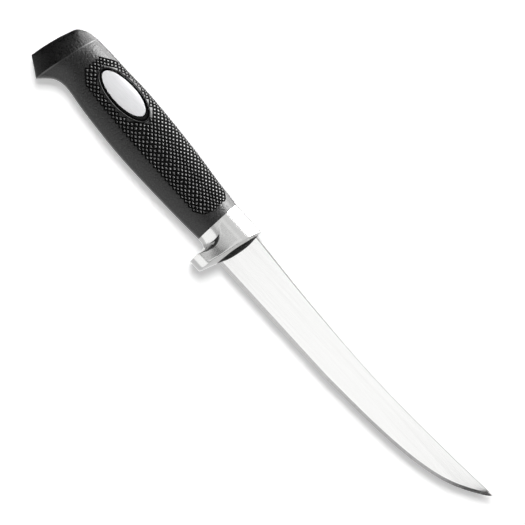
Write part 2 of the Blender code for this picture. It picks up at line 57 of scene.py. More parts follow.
# Sizes that the solids were built from. Pieces are worked out in the knife's own frame, with X zero
# where the blade leaves the guard, Y zero on the tang's axis and Z zero in the blade's middle plane.
BLADE_LENGTH = 180 * MM
SPINE_HEIGHT = 11.9 * MM
SPINE_SAG = 4.3 * MM
SPINE_SAG_AT = 0.53
TIP_HEIGHT = 11.8 * MM
EDGE_DROP = 11.1 * MM
STRAIGHT_EDGE = 78 * MM
STOCK_HALF = 1.1 * MM
EDGE_HALF = 0.3 * MM
TIP_HALF = 0.2 * MM
TIP_BLUNT = 0.4 * MM
BEVEL_WIDTH = 1.7 * MM
SLOPE_RUN = 1 * MM
SPINE_CHAMFER = 0.25 * MM
TANG_LENGTH = 92 * MM
TANG_HEIGHT = 10 * MM
TANG_END_HEIGHT = 7 * MM
TANG_RISE = 3.5 * MM
LOCK_HOLE_RADIUS = 2.2 * MM
LOCK_HOLES = (34 * MM, 76 * MM)
GUARD_LENGTH = 17.3 * MM
QUILLON_DROP = 21.5 * MM
NECK_DROP = 2.85 * MM
FRONT_BOW = 3.9 * MM
BOW_LEAST_HALF = 1 * MM
GUARD_RIM = 1.1 * MM
MOUTH_BORDER = 0.5 * MM
MOUTH_BEYOND_BLADE = 1 * MM
MOUTH_FLOOR = 4 * MM
MOUTH_POWER = 2.4
SHOULDER_SEAT = 7 * MM
SPIGOT_DEPTH = 5 * MM
HANDLE_LENGTH = 125.65 * MM
HANDLE_HEIGHT = 32 * MM
HALF_THICKNESS = 10.2 * MM
SECTION_POWER = 2.3
EGG = 0.07
GRIP_WALL = 3.2 * MM
CORE_WALL = 6 * MM
BADGE_HALF_LENGTH = 14.9 * MM
BADGE_HALF_HEIGHT = 5.85 * MM
BADGE_BEHIND_GUARD = 79.2 * MM
BADGE_ABOVE_AXIS = 11.25 * MM
BADGE_PLATE = 1 * MM
DISH_HALF_LENGTH = 17.3 * MM
DISH_HALF_HEIGHT = 7.4 * MM
DISH_FORWARD = 0.8 * MM
DISH_LOWER = 0.35 * MM
DISH_DEPTH = 0.8 * MM
DISH_WALL = 0.3 * MM
LIP_RADIUS = 0.4 * MM
FIT = 0.2 * MM
JOINT = 0.3 * MM

# Outlines of the solids, as shares of the handle's length and height, of the guard's and of the bow.
STATIONS = (
    (0.000, 0.4766, 0.000, -0.3328, 1.00),
    (0.106, 0.5156, 0.106, -0.3531, 1.00),
    (0.251, 0.5750, 0.251, -0.3672, 1.00),
    (0.396, 0.6188, 0.396, -0.3734, 1.00),
    (0.497, 0.6391, 0.497, -0.3641, 1.00),
    (0.592, 0.6500, 0.592, -0.3406, 1.00),
    (0.680, 0.6438, 0.696, -0.3047, 0.99),
    (0.751, 0.6391, 0.783, -0.2609, 0.98),
    (0.799, 0.6375, 0.827, -0.2594, 0.97),
    (0.835, 0.6328, 0.863, -0.3031, 0.96),
    (0.855, 0.6281, 0.891, -0.3969, 0.95),
    (0.866, 0.6266, 0.917, -0.5156, 0.94),
)
BUTT = (
    (1.00, 0.866, 0.6266),
    (0.93, 0.906, 0.6000),
    (0.83, 0.930, 0.5594),
    (0.70, 0.954, 0.4813),
    (0.50, 0.968, 0.3281),
    (0.20, 0.981, 0.1406),
    (-0.20, 0.992, -0.0781),
    (-0.62, 1.000, -0.3125),
)
SCOOP = (
    (0.00, 0.10),
    (0.06, 0.26),
    (0.15, 0.405),
    (0.255, 0.48),
    (0.36, 0.50),
    (0.55, 0.44),
    (0.68, 0.37),
    (0.79, 0.33),
    (1.00, 0.312),
)
FRONT = (
    (0.00, -1.256, 0.103),
    (0.275, -0.410, 0.667),
    (0.42, 0.128, 0.923),
    (0.60, 0.462, 1.000),
    (0.75, 0.579, 0.872),
    (0.88, 0.487, 0.513),
    (1.00, 0.359, 0.026),
)
# Turn round the handle's section of every whole row of studs, counted from the spine.
ROW_TURNS = (0.0, 0.185, 0.395, 0.68, 0.91, 1.09, 1.24, 1.39, 1.53, 1.67, 1.815, 1.955, 2.09)
LAST_ROW = 10.5
FIRST_COLUMN = -24.69 * MM  # a column of studs that the others are counted from, in half pitches
COLUMNS = range(-66, 3)  # numbers of the columns that may hold studs
LEAN_PIVOT = 8 * MM  # height at which a leaning column crosses its own place
STUD_SINK = 0.02 * MM  # how far a stud's foot goes into the panel's floor
PANEL_MARGIN = 0.3 * MM  # how far the sunken panel reaches past its outermost studs' cells
PANEL_CLEARANCE = 1.2 * MM  # how far the panel's cutter stands above the grip's surface
# The oval round the dish that holds no stud: half its length, and its reach up and down from the
# dish's middle, in millimetres. With 18.2 and 7.9 for the first two the panel's cut fails.
CLEAR_HALF_LENGTH = 18.5
CLEAR_ABOVE = 8.2
CLEAR_BELOW = 8.9
# Ends of the studded panel, as height and place in millimetres. No stud's middle lies beyond them,
# and by the guard the studs and the panel's border are drawn back to the line.
PANEL_BUTT_END = (
    (-0.5, -109.6), (0.0, -111.9), (1.5, -114.3), (3.0, -115.8), (4.5, -117.1), (5.5, -118.2),
    (14.5, -118.2), (15.5, -117.6), (17.0, -115.8), (18.3, -113.8), (19.5, -111.7), (20.2, -109.7),
)
PANEL_GUARD_END = (
    (-2.9, -29.3), (-2.6, -28.3), (-1.8, -26.6), (-0.6, -25.0), (0.5, -23.9), (2.0, -23.2),
    (3.5, -22.6), (4.5, -22.2), (12.4, -22.2), (13.0, -22.7), (14.0, -24.0), (15.0, -25.4),
    (16.0, -26.8),
)

GUARD_BACK = -GUARD_LENGTH
HANDLE_FRONT = GUARD_BACK - JOINT
SHOULDERS = -SHOULDER_SEAT
ROOT_END = max(row[1] for row in FRONT) * FRONT_BOW + JOINT
NECK_TOP = STATIONS[0][1] * HANDLE_HEIGHT
NECK_BOTTOM = STATIONS[0][3] * HANDLE_HEIGHT
NECK_MIDDLE = (NECK_TOP + NECK_BOTTOM) / 2
NECK_HALF = (NECK_TOP - NECK_BOTTOM) / 2
FACE_TOP = SPINE_HEIGHT - SPINE_CHAMFER
FACE_SLOPE = (STOCK_HALF - EDGE_HALF) / (FACE_TOP + EDGE_DROP - BEVEL_WIDTH)
SPINE_EASE = 0.8 * MM  # width of the band that eases the blade's spine, and its slope
EASE_SLOPE = 0.22
MOST_BEVEL = 0.75  # most of the blade's height that bevel and eased band take near the tip
MOST_EASE = 0.1
FOOT_AT_TIP = 0.7  # thickness over the bevel at the tip, as a share of that at the spine there
BEVEL_BOW = 0.52  # thickness in the bevel's middle, as a share of that at its top
EDGE_APEX = 0.02 * MM  # half thickness of the very edge
SPINE_FADE = 0.35  # share of that band's width that is left where the edge begins to rise
ROLL_DEPTH = 0.4 * MM  # how far the guard's flat sides are rolled away by the scoop, and where most
ROLL_MIDDLE = -7 * MM
ROLL_REACH = 5.5 * MM
RIM_LOOK = 0.5 * MM  # radius that shows of the guard's rounded rim, and height of its rounded foot
QUILLON_LOOK = 7.7 * MM
GROOVE_WIDTH = 1.3 * MM  # groove inside the dish's lip
GROOVE_DEPTH = 1.9 * MM
GROOVE_LEAN = 0.1 * MM  # how far the groove's edges are drawn aside, so that its walls lean
LIP_LINE = 0.42 * MM  # radius of the dish's raised lip
CORNER_HEIGHT = -0.93  # where the butt's blunt face ends on its crease, as a share of the section
RIDGE = 0.1 * MM  # line left by the mould along the butt's crease
RIDGE_END = -0.4  # where that line has faded away, as a share of the section
CREASE_CLEAR = 0.6  # the grip's even sections end this far before the crease, in stations
NEAR_CREASE = (0.5, 0.3)  # and its last ones follow, at these distances from it
EDGE_ROLL = 0.2 * MM  # how deep the badge plate's edge is rolled over, and how far in
EDGE_INSET = 0.18 * MM
SEAM = 0.03 * MM  # what shows of a moulded or cast joint, which the solids draw as wide as JOINT
TIP_SECTIONS = 40  # sections that crowd towards the blade's tip, over the last TIP_STEPS plain steps
TIP_STEPS = 12
TURN_STEP = 0.004  # step in stations and in turn over which the handle's normal is taken
HALVINGS = 26  # times that a search for a station halves its range

guard_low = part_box("guard")[0]
blade_low, blade_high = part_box("blade")
PLACE = Vector(
    (guard_low.x + GUARD_LENGTH, guard_low.y + QUILLON_DROP, (blade_low.z + blade_high.z) / 2)
)


def linear(code):
    """Linear red, green and blue of an sRGB hex code."""
    parts = [int(code[i : i + 2], 16) / 255 for i in (0, 2, 4)]
    return tuple(c / 12.92 if c <= 0.04045 else ((c + 0.055) / 1.055) ** 2.4 for c in parts)


# Settings


class BladeSettings(bpy.types.PropertyGroup):
    steel: FloatVectorProperty(
        name="Steel", description="Colour of the ground steel", subtype="COLOR", default=linear("FDFDFC")
    )
    roughness: FloatProperty(
        name="Roughness", description="Roughness of the ground faces", default=0.14, min=0.02, max=1
    )
    streak_width: FloatProperty(
        name="Streak width", description="Width of the grinding streaks", unit="LENGTH", default=0.25 * MM
    )
    streak_length: FloatProperty(
        name="Streak length", description="Length of the grinding streaks", unit="LENGTH", default=30 * MM
    )
    section_step: FloatProperty(
        name="Section step", description="Distance between sections", unit="LENGTH", default=1.2 * MM
    )


class GuardSettings(bpy.types.PropertyGroup):
    metal: FloatVectorProperty(
        name="Metal", description="Colour of the guard's metal", subtype="COLOR", default=linear("DADAD9")
    )
    polish: FloatProperty(
        name="Polish", description="Roughness of the polished curves", default=0.16, min=0.02, max=1
    )
    satin: FloatProperty(
        name="Satin", description="Roughness of the flat sides", default=0.2, min=0.02, max=1
    )
    seal: FloatVectorProperty(
        name="Seal", description="Colour of the cast seal", subtype="COLOR", default=linear("050505")
    )
    around: IntProperty(
        name="Points round", description="Points round a section, a multiple of 4", default=144, min=40
    )


class GripSettings(bpy.types.PropertyGroup):
    rubber: FloatVectorProperty(
        name="Rubber", description="Colour of the rubber", subtype="COLOR", default=linear("090909")
    )
    roughness: FloatProperty(
        name="Roughness", description="Roughness of the smooth rubber", default=0.31, min=0.05, max=1
    )
    grain: FloatProperty(
        name="Grain", description="Size of the moulded grain", unit="LENGTH", default=0.9 * MM
    )
    around: IntProperty(
        name="Points round", description="Points round a section, a multiple of 4", default=144, min=40
    )
    step: FloatProperty(
        name="Section step", description="Distance between sections in stations", default=0.07, min=0.02
    )


class StudSettings(bpy.types.PropertyGroup):
    pitch: FloatProperty(
        name="Pitch", description="Distance between studs in a row", unit="LENGTH", default=2.94 * MM
    )
    depth: FloatProperty(
        name="Depth", description="Height of a stud in its sunken panel", unit="LENGTH", default=0.7 * MM
    )
    top: FloatProperty(
        name="Top", description="Width of a stud's top as a share of its cell", default=0.24, min=0.02
    )
    shoulder: FloatProperty(
        name="Shoulder", description="Width of its shoulder as a share of its cell", default=0.45, max=1
    )
    lean: FloatProperty(
        name="Lean", description="Lean of the columns", subtype="ANGLE", default=math.radians(2.3)
    )
    seed: IntProperty(name="Seed", description="Seed of the studs' small differences", default=4)


class BadgeSettings(bpy.types.PropertyGroup):
    silver: FloatVectorProperty(
        name="Silver", description="Colour of the bare plate", subtype="COLOR", default=linear("F4F4F6")
    )
    roughness: FloatProperty(
        name="Roughness", description="Roughness of the plate", default=0.28, min=0.02, max=1
    )
    sides: IntProperty(name="Sides", description="Points round the oval", default=128, min=48)


class StageSettings(bpy.types.PropertyGroup):
    floor: FloatVectorProperty(
        name="Floor", description="Colour of the floor", subtype="COLOR", default=linear("F4F4F4")
    )
    sky: FloatProperty(name="Sky", description="Strength of the even light all round", default=0.08)
    key: FloatProperty(
        name="Key", description="Power of the soft lamp overhead", unit="POWER", default=36.0
    )
    glow: FloatProperty(name="Glow", description="Glow that lifts the lit floor to white", default=0.47)
    height: FloatProperty(
        name="Camera height", description="Camera above the knife", unit="LENGTH", default=1107.5 * MM
    )


# Small tools for shapes


def curve(knots):
    """The smooth curve through knots, (place, value) in rising order, for a place or many."""
    places = np.array([knot[0] for knot in knots], float)
    values = np.array([knot[1] for knot in knots], float)
    number = np.arange(len(places))
    before, after = np.maximum(number - 1, 0), np.minimum(number + 1, len(places) - 1)
    slopes = (values[after] - values[before]) / (places[after] - places[before])

    def at(place):
        place = np.clip(place, places[0], places[-1])
        i = np.clip(np.searchsorted(places, place, "right") - 1, 0, len(places) - 2)
        step = places[i + 1] - places[i]
        t = (place - places[i]) / step
        return (
            (1 + 2 * t) * (1 - t) ** 2 * values[i]
            + t * (1 - t) ** 2 * step * slopes[i]
            + t * t * (3 - 2 * t) * values[i + 1]
            + t * t * (t - 1) * step * slopes[i + 1]
        )

    return at


def mix(a, b, share):
    """What lies between two values, by a share from 0 to 1."""
    return a + (b - a) * share


def signed_power(value, power):
    return np.sign(value) * np.abs(value) ** power


def stack(x, y, z):
    """Points from three arrays or numbers."""
    return np.stack(np.broadcast_arrays(x, y, z), axis=-1).astype(float)


def bands(first, count, around, ring=False):
    """Quads that join loops of points, which start at index first and follow each other."""
    faces = []
    for k in range(count if ring else count - 1):
        a, b = first + k * around, first + (k + 1) % count * around
        for i in range(around):
            j = (i + 1) % around
            faces.append((a + i, a + j, b + j, b + i))
    return faces


def placed(name, data):
    """A new object of the scene."""
    made = bpy.data.objects.new(name, data)
    bpy.context.scene.collection.objects.link(made)
    return made


def make(name, points, faces, finishes, smooth_below=30):
    """A piece from points in the knife's frame, set in the row's frame, with its faces turned out."""
    mesh = bpy.data.meshes.new(name)
    mesh.from_pydata([tuple(Vector(point) + PLACE) for point in points], [], faces)
    cleaner = bmesh.new()
    cleaner.from_mesh(mesh)
    bmesh.ops.recalc_face_normals(cleaner, faces=cleaner.faces)
    cleaner.to_mesh(mesh)
    cleaner.free()
    for finish in finishes:
        mesh.materials.append(finish)
    made = placed(name, mesh)
    smooth(made, smooth_below)
    return made


def smooth(item, below):
    """Shades a piece smooth, but for edges that turn by more than an angle in degrees."""
    item.data.shade_smooth()
    item.data.set_sharp_from_angle(angle=math.radians(below))


def loft(name, loops, finishes, ring=False, smooth_below=30):
    """A closed piece through loops of equally many points, with flat caps or joined into a ring."""
    around = len(loops[0])
    points = np.concatenate(loops)
    faces = bands(0, len(loops), around, ring)
    if not ring:
        faces.append(tuple(range(around)))
        faces.append(tuple(range(len(points) - around, len(points))))
    return make(name, points, faces, finishes, smooth_below)


def combine(target, other, operation):
    """Cuts or adds another piece for good, then removes it."""
    modifier = target.modifiers.new(operation.lower(), "BOOLEAN")
    modifier.operation = operation
    modifier.object = other
    modifier.solver = "EXACT"
    modifier.material_mode = "TRANSFER"
    plain(target)
    bpy.data.objects.remove(other)


def plain(item):
    """Turns a piece and its modifiers into a plain mesh."""
    graph = bpy.context.evaluated_depsgraph_get()
    result = bpy.data.meshes.new_from_object(item.evaluated_get(graph))
    item.modifiers.clear()
    item.data = result
    if not len(result.polygons):
        raise RuntimeError(f"{item.name} came out empty")


def dress(item, slot, *nodes):
    """Hands a finished piece to the frame."""
    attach(item, "root")
    if nodes:
        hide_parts(*nodes)


# Finishes


def add(tree, kind, inputs=None, **settings):
    """Adds a node with its settings. An input takes a value or another node's output."""
    made = tree.nodes.new(kind)
    for name, value in settings.items():
        setattr(made, name, value)
    for socket, value in (inputs or {}).items():
        if isinstance(value, bpy.types.NodeSocket):
            tree.links.new(value, made.inputs[socket])
        else:
            made.inputs[socket].default_value = value
    return made


def finish_named(name):
    """An empty material, its tree and the object's own coordinates."""
    finish = bpy.data.materials.new(name)
    finish.use_nodes = True
    tree = finish.node_tree
    tree.nodes.clear()
    return finish, tree, add(tree, "ShaderNodeTexCoord").outputs["Object"]


def grained(name, size, detail):
    """An empty material, its tree, the object's own coordinates and an even grain of a size."""
    finish, tree, place = finish_named(name)
    grain = add(tree, "ShaderNodeTexNoise", {"Vector": place, "Scale": 1 / size, "Detail": detail})
    return finish, tree, place, grain.outputs[0]


def rgba(colour, share=1.0):
    """A share of a colour, as a socket takes it."""
    return (*(min(1.0, part * share) for part in colour), 1.0)


def drawn_out(tree, place, sizes, detail, **moved):
    """Noise that has a size of its own along each axis of the piece."""
    inputs = {"Vector": place, "Scale": [1 / size for size in sizes], **moved}
    spot = add(tree, "ShaderNodeMapping", inputs)
    inputs = {"Vector": spot.outputs[0], "Scale": 1.0, "Detail": detail}
    return add(tree, "ShaderNodeTexNoise", inputs).outputs[0]


def streaks(tree, place, width, length, seed):
    """Noise drawn out along the blade, as a grinding belt leaves it."""
    return drawn_out(tree, place, (length, width, 40 * width), 4.0, Location=(seed, seed, 0))


MIDDLE = (0.3, 0.7)  # the range that nearly all of a noise's values lie in


def mottled(tree, grain, dark, light, span=MIDDLE):
    """A colour that runs from dark to light as a noise crosses a range."""
    inputs = {"Value": grain, "From Min": span[0], "From Max": span[1]}
    share = add(tree, "ShaderNodeMapRange", inputs)
    inputs = {0: share.outputs["Result"], 6: dark, 7: light}
    return add(tree, "ShaderNodeMix", inputs, data_type="RGBA").outputs[2]


def surfaced(finish, inputs, rough=None, relief=None):
    """Closes a material with its shader. rough is a noise and the roughness at both ends of its
    middle range, and relief a noise, its strength and its depth."""
    tree = finish.node_tree
    if rough:
        noise, low, high = rough
        span = {"Value": noise, "From Min": MIDDLE[0], "From Max": MIDDLE[1]}
        span |= {"To Min": low, "To Max": high}
        inputs["Roughness"] = add(tree, "ShaderNodeMapRange", span).outputs["Result"]
    if relief:
        noise, strength, depth = relief
        bump = add(tree, "ShaderNodeBump", {"Height": noise, "Strength": strength, "Distance": depth})
        inputs["Normal"] = bump.outputs[0]
    shader = add(tree, "ShaderNodeBsdfPrincipled", inputs)
    add(tree, "ShaderNodeOutputMaterial", {"Surface": shader.outputs[0]})
    return finish


def ground_steel(settings):
    """Stainless steel, belt ground along the blade and finely polished: bright, with faint streaks."""
    finish, tree, place = finish_named("ground_steel")
    fine = streaks(tree, place, settings.streak_width, settings.streak_length, 0.0)
    broad = streaks(tree, place, settings.streak_width * 6, settings.streak_length * 2, 3.0)
    colour = mottled(tree, fine, rgba(settings.steel, 0.97), rgba(settings.steel))
    rough = (broad, settings.roughness * 0.8, settings.roughness * 1.25)
    return surfaced(finish, {"Base Color": colour, "Metallic": 1.0}, rough, (fine, 0.06, 0.02 * MM))


def honed_steel(settings):
    """The same steel at the edge, honed across on a stone: smoother, so it mirrors what is darker."""
    finish, tree, place = finish_named("honed_steel")
    grain = drawn_out(tree, place, (0.2 * MM, 6 * MM, 6 * MM), 3.0)
    colour = mottled(tree, grain, rgba(settings.steel, 0.84), rgba(settings.steel))
    return surfaced(finish, {"Base Color": colour, "Metallic": 1.0}, (grain, 0.1, 0.16))


def spine_steel_painted_shade(settings):
    """The same steel on the eased band along the spine, darker: its colour paints the grey line of shade
    along the spine's edge.
    """
    finish, tree, place = finish_named("spine_steel_painted_shade")
    grain = streaks(tree, place, 0.12 * MM, 2 * MM, 5.0)
    colour = mottled(tree, grain, rgba(settings.steel, 0.5), rgba(settings.steel, 0.66))
    return surfaced(finish, {"Base Color": colour, "Roughness": 0.16, "Metallic": 1.0})


def polished_guard(settings):
    """Cast stainless steel, buffed: mirrors softly, with a little waviness from the wheel."""
    finish, tree, place, fine = grained("buffed_cast_steel", 0.25 * MM, 3.0)
    wave = add(tree, "ShaderNodeTexNoise", {"Vector": place, "Scale": 1 / (2.5 * MM), "Detail": 2.0})
    colour = mottled(tree, fine, rgba(settings.metal, 0.93), rgba(settings.metal))
    rough = (fine, settings.polish * 0.85, settings.polish * 1.2)
    inputs = {"Base Color": colour, "Metallic": 1.0}
    return surfaced(finish, inputs, rough, (wave.outputs[0], 0.1, 0.1 * MM))


def satin_guard(settings):
    """The guard's flat sides, finished on a belt: an even satin grey with short scratches."""
    finish, tree, place = finish_named("belt_finished_steel")
    turn = (0.0, 0.0, math.radians(12))
    grain = drawn_out(tree, place, (3 * MM, 0.18 * MM, 1.0), 4.0, Rotation=turn)
    colour = mottled(tree, grain, rgba(settings.metal, 0.9), rgba(settings.metal))
    rough = (grain, settings.satin * 0.85, settings.satin * 1.2)
    return surfaced(finish, {"Base Color": colour, "Metallic": 1.0}, rough)


def seal_painted_shade_and_glints(settings):
    """Black epoxy compound, cast in the guard's mouth: satin, with small pits and lumps. Its near-black
    paints the shade of the mouth, and the light specks in its colour are painted glints.
    """
    finish, tree, _, lumps = grained("epoxy_painted_shade_and_glints", 0.9 * MM, 4.0)
    # light specks painted into the near-black colour as glints
    colour = mottled(tree, lumps, rgba(settings.seal), rgba(settings.seal, 80), (0.56, 0.68))
    inputs = {"Base Color": colour, "Specular IOR Level": 0.06}
    return surfaced(finish, inputs, (lumps, 0.4, 0.62), (lumps, 0.7, 0.25 * MM))


def moulded_rubber(settings, name, share, gloss):
    """Black thermoplastic rubber from a spark-eroded mould: satin, with a fine grain and soft blotches.
    Its parts differ in a share of the grip's roughness and in their gloss."""
    finish, tree, place, grain = grained(name, settings.grain, 3.0)
    blotch = add(tree, "ShaderNodeTexNoise", {"Vector": place, "Scale": 1 / (1.4 * MM), "Detail": 3.0})
    dark, light = rgba(settings.rubber, 0.5), rgba(settings.rubber, 2.0)
    colour = mottled(tree, blotch.outputs[0], dark, light)
    rough = (grain, settings.roughness * share * 0.72, settings.roughness * share * 1.3)
    inputs = {"Base Color": colour, "Specular IOR Level": gloss}
    return surfaced(finish, inputs, rough, (grain, 1.0, 0.2 * MM))


def crease_rubber_painted_highlight(settings):
    """The same rubber along the butt's crease, where the mould parts: smoother and glossier, and lighter
    in colour to paint the crease's highlight line.
    """
    finish, tree, _, grain = grained("crease_rubber_painted_highlight", settings.grain, 3.0)
    colour = mottled(tree, grain, rgba(settings.rubber), rgba(settings.rubber, 7))
    return surfaced(finish, {"Base Color": colour, "Roughness": 0.3, "Specular IOR Level": 0.9})


def recess_rubber_painted_shade(settings):
    """The same rubber on the floors and walls of the sunken panel and the badge's dish: dull and nearly
    black, which paints the shade that falls in these recesses.
    """
    finish, tree, _, grain = grained("recess_painted_shade", settings.grain, 3.0)
    colour = mottled(tree, grain, rgba(settings.rubber, 0.4), rgba(settings.rubber))
    return surfaced(finish, {"Base Color": colour, "Roughness": 0.75, "Specular IOR Level": 0.06})


def foil_plate(settings):
    """Thin aluminium plate in silver lacquer with a fine lengthwise brushing, left bare."""
    finish, tree, place = finish_named("silver_lacquer")
    grain = drawn_out(tree, place, (5 * MM, 0.12 * MM, 5 * MM), 3.0)
    colour = mottled(tree, grain, rgba(settings.silver, 0.9), rgba(settings.silver))
    rough = (grain, settings.roughness * 0.85, settings.roughness * 1.2)
    return surfaced(finish, {"Base Color": colour, "Specular IOR Level": 0.3}, rough)


def core_plastic():
    """Glass-filled nylon, injection moulded round the tang: dull black with a fine flow mottle."""
    finish, tree, _, flow = grained("glass_filled_nylon", 1.5 * MM, 4.0)
    colour = mottled(tree, flow, rgba(linear("17181A")), rgba(linear("26272A")))
    return surfaced(finish, {"Base Color": colour, "IOR": 1.53}, (flow, 0.45, 0.6))


# Handle's surface

STATION_CURVES = [curve([(n, row[column]) for n, row in enumerate(STATIONS)]) for column in range(5)]
ROW_CURVE = curve(list(enumerate(ROW_TURNS)))
LAST_STATION = len(STATIONS) - 1


def egg(height):
    """How much wider the handle's section is than its rounded form, at a height on it."""
    return 1 + EGG * height * np.abs(height)


def section(turn):
    """Height and half width on the handle's section, from -1 to 1, by the turn from its spine."""
    height = signed_power(np.cos(turn), 2 / SECTION_POWER)
    return height, signed_power(np.sin(turn), 2 / SECTION_POWER) * egg(height)


def station(number, inset=0.0):
    """Spine point, belly point and half thickness at stations, or inside a wall there."""
    marks = [at(number) for at in STATION_CURVES]
    spine = stack(HANDLE_FRONT - marks[0] * HANDLE_LENGTH, marks[1] * HANDLE_HEIGHT, 0)
    belly = stack(HANDLE_FRONT - marks[2] * HANDLE_LENGTH, marks[3] * HANDLE_HEIGHT, 0)
    across = (spine - belly) / np.linalg.norm(spine - belly, axis=-1, keepdims=True)
    return spine - across * inset, belly + across * inset, marks[4] * HALF_THICKNESS - inset


def handle_point(number, turn, inset=0.0):
    """Points of the handle's surface by station and turn, or inside a wall there."""
    spine, belly, half = station(number, inset)
    height, width = section(turn)
    share = (height + 1) / 2
    return stack(
        mix(belly[..., 0], spine[..., 0], share), mix(belly[..., 1], spine[..., 1], share), width * half
    )


def handle_normal(number, turn):
    """Outward normal of the handle's surface."""
    along = handle_point(number + TURN_STEP, turn) - handle_point(number - TURN_STEP, turn)
    around = handle_point(number, turn + TURN_STEP) - handle_point(number, turn - TURN_STEP)
    normal = np.cross(around, along)
    normal /= np.linalg.norm(normal, axis=-1, keepdims=True)
    spine, belly, _ = station(number)
    outward = handle_point(number, turn) - (spine + belly) / 2
    return normal * np.sign(np.sum(normal * outward, axis=-1, keepdims=True))


def surface_z(x, y):
    """Height of the handle's upper side above the middle plane, at places seen from that side."""
    low, high = np.zeros_like(x), np.full_like(x, LAST_STATION)
    for _ in range(HALVINGS):
        middle = (low + high) / 2
        spine, belly, _ = station(middle)
        share = (y - belly[..., 1]) / (spine[..., 1] - belly[..., 1])
        ahead = mix(belly[..., 0], spine[..., 0], share) > x
        low, high = np.where(ahead, middle, low), np.where(ahead, high, middle)
    spine, belly, half = station((low + high) / 2)
    height = (2 * y - spine[..., 1] - belly[..., 1]) / (spine[..., 1] - belly[..., 1])
    height = np.clip(height, -0.999, 0.999)
    return half * (1 - np.abs(height) ** SECTION_POWER) ** (1 / SECTION_POWER) * egg(height)


# Blade


def spine_y(x):
    knots = (
        (0.0, SPINE_HEIGHT),
        (SPINE_SAG_AT * 0.47, SPINE_HEIGHT - SPINE_SAG * 0.67),
        (SPINE_SAG_AT, SPINE_HEIGHT - SPINE_SAG),
        (0.81, mix(SPINE_HEIGHT - SPINE_SAG, TIP_HEIGHT, 0.44)),
        (1.0, TIP_HEIGHT),
    )
    return curve(knots)((x - ROOT_END) / (BLADE_LENGTH - ROOT_END))


def edge_y(x):
    knots = (
        (0.0, 0.0),
        (0.30, 0.065),
        (0.54, 0.17),
        (0.715, 0.325),
        (0.833, 0.52),
        (0.955, 0.835),
        (1.0, 1.0),
    )
    share = np.maximum(0.0, (x - STRAIGHT_EDGE) / (BLADE_LENGTH - STRAIGHT_EDGE))
    return -EDGE_DROP + (TIP_HEIGHT + EDGE_DROP) * curve(knots)(share)


def blade_loops(step):
    """Sections of the blade from the shoulders to the tip: rounded spine, ground face, bevel, edge."""
    count = round(BLADE_LENGTH / step)
    even = np.linspace(SHOULDERS, BLADE_LENGTH - TIP_STEPS * step, count)
    rest = BLADE_LENGTH - TIP_BLUNT - even[-1]
    near_tip = even[-1] + rest * (1 - (1 - np.arange(1, TIP_SECTIONS + 1) / TIP_SECTIONS) ** 1.5)
    loops = []
    for x in np.concatenate([even, near_tip]):
        top, bottom = spine_y(x), edge_y(x)
        share = max(0.0, (x - STRAIGHT_EDGE) / (BLADE_LENGTH - STRAIGHT_EDGE))
        slope = (edge_y(x + SLOPE_RUN) - edge_y(x - SLOPE_RUN)) / (2 * SLOPE_RUN)
        bevel = min(BEVEL_WIDTH * math.hypot(1, slope), MOST_BEVEL * (top - bottom))
        flat_top = spine_y(min(x, STRAIGHT_EDGE)) - SPINE_CHAMFER
        flat = EDGE_HALF + FACE_SLOPE * (flat_top + EDGE_DROP - BEVEL_WIDTH)
        half, foot = mix(flat, TIP_HALF, share), mix(EDGE_HALF, TIP_HALF * FOOT_AT_TIP, share)
        fade = mix(1, SPINE_FADE, np.clip(x / STRAIGHT_EDGE, 0, 1))
        ease = min(SPINE_EASE * fade, MOST_EASE * (top - bottom))
        side = [(top, half - ease * EASE_SLOPE)]
        for down in (0.0, 0.25, 0.5, 0.75, 1.0):
            side.append((mix(top - ease, bottom + bevel, down), mix(half, foot, down)))
        side.append((bottom + bevel * 0.5, foot * BEVEL_BOW))
        side.append((bottom, EDGE_APEX))
        right = [(x, y, z) for y, z in side]
        left = [(x, y, -z) for y, z in reversed(side)]
        loops.append(np.array([*right, *left]))
    return loops


BEVEL_TOP = 5  # place in half a section of the line where face and bevel meet


def build_blade(settings):
    """The ground blade with its tang and lock holes, as one closed piece."""
    loops = blade_loops(settings.section_step)
    around = len(loops[0])
    finishes = [ground_steel(settings), honed_steel(settings), spine_steel_painted_shade(settings)]
    blade = loft("blade_ground", loops, finishes)
    mesh = blade.data
    for face in mesh.polygons[: (len(loops) - 1) * around]:
        if BEVEL_TOP <= face.index % around <= BEVEL_TOP + 4:
            face.material_index = 1
        # the spine's eased faces take the steel whose darker colour paints a line of shade
        elif face.index % around in (0, around - 2, around - 1):
            face.material_index = 2
    lines = {0, 1, BEVEL_TOP, BEVEL_TOP + 2}
    lines |= {around - 1 - line for line in lines}
    sharp = mesh.attributes.get("sharp_edge") or mesh.attributes.new("sharp_edge", "BOOLEAN", "EDGE")
    for edge in mesh.edges:
        a, b = edge.vertices
        if a % around == b % around and a % around in lines:
            sharp.data[edge.index].value = True
    tang = []
    for x in (SHOULDERS + 1 * MM, SHOULDERS - TANG_LENGTH):
        share = (SHOULDERS - x) / TANG_LENGTH
        middle, half = TANG_RISE * share, mix(TANG_HEIGHT, TANG_END_HEIGHT, share) / 2
        z = STOCK_HALF - 0.01 * MM
        corners = ((half, z), (-half, z), (-half, -z), (half, -z))
        tang.append(np.array([(x, middle + y, z) for y, z in corners]))
    combine(blade, loft("tang", tang, [mesh.materials[0]]), "UNION")
    for behind in LOCK_HOLES:
        turns = np.linspace(0, 2 * math.pi, 32, endpoint=False)
        x = SHOULDERS - behind + LOCK_HOLE_RADIUS * np.cos(turns)
        y = TANG_RISE * behind / TANG_LENGTH + LOCK_HOLE_RADIUS * np.sin(turns)
        ends = [stack(x, y, z) for z in (-2 * STOCK_HALF, 2 * STOCK_HALF)]
        combine(blade, loft("hole", ends, [mesh.materials[0]]), "DIFFERENCE")
    return blade


# Guard and seal

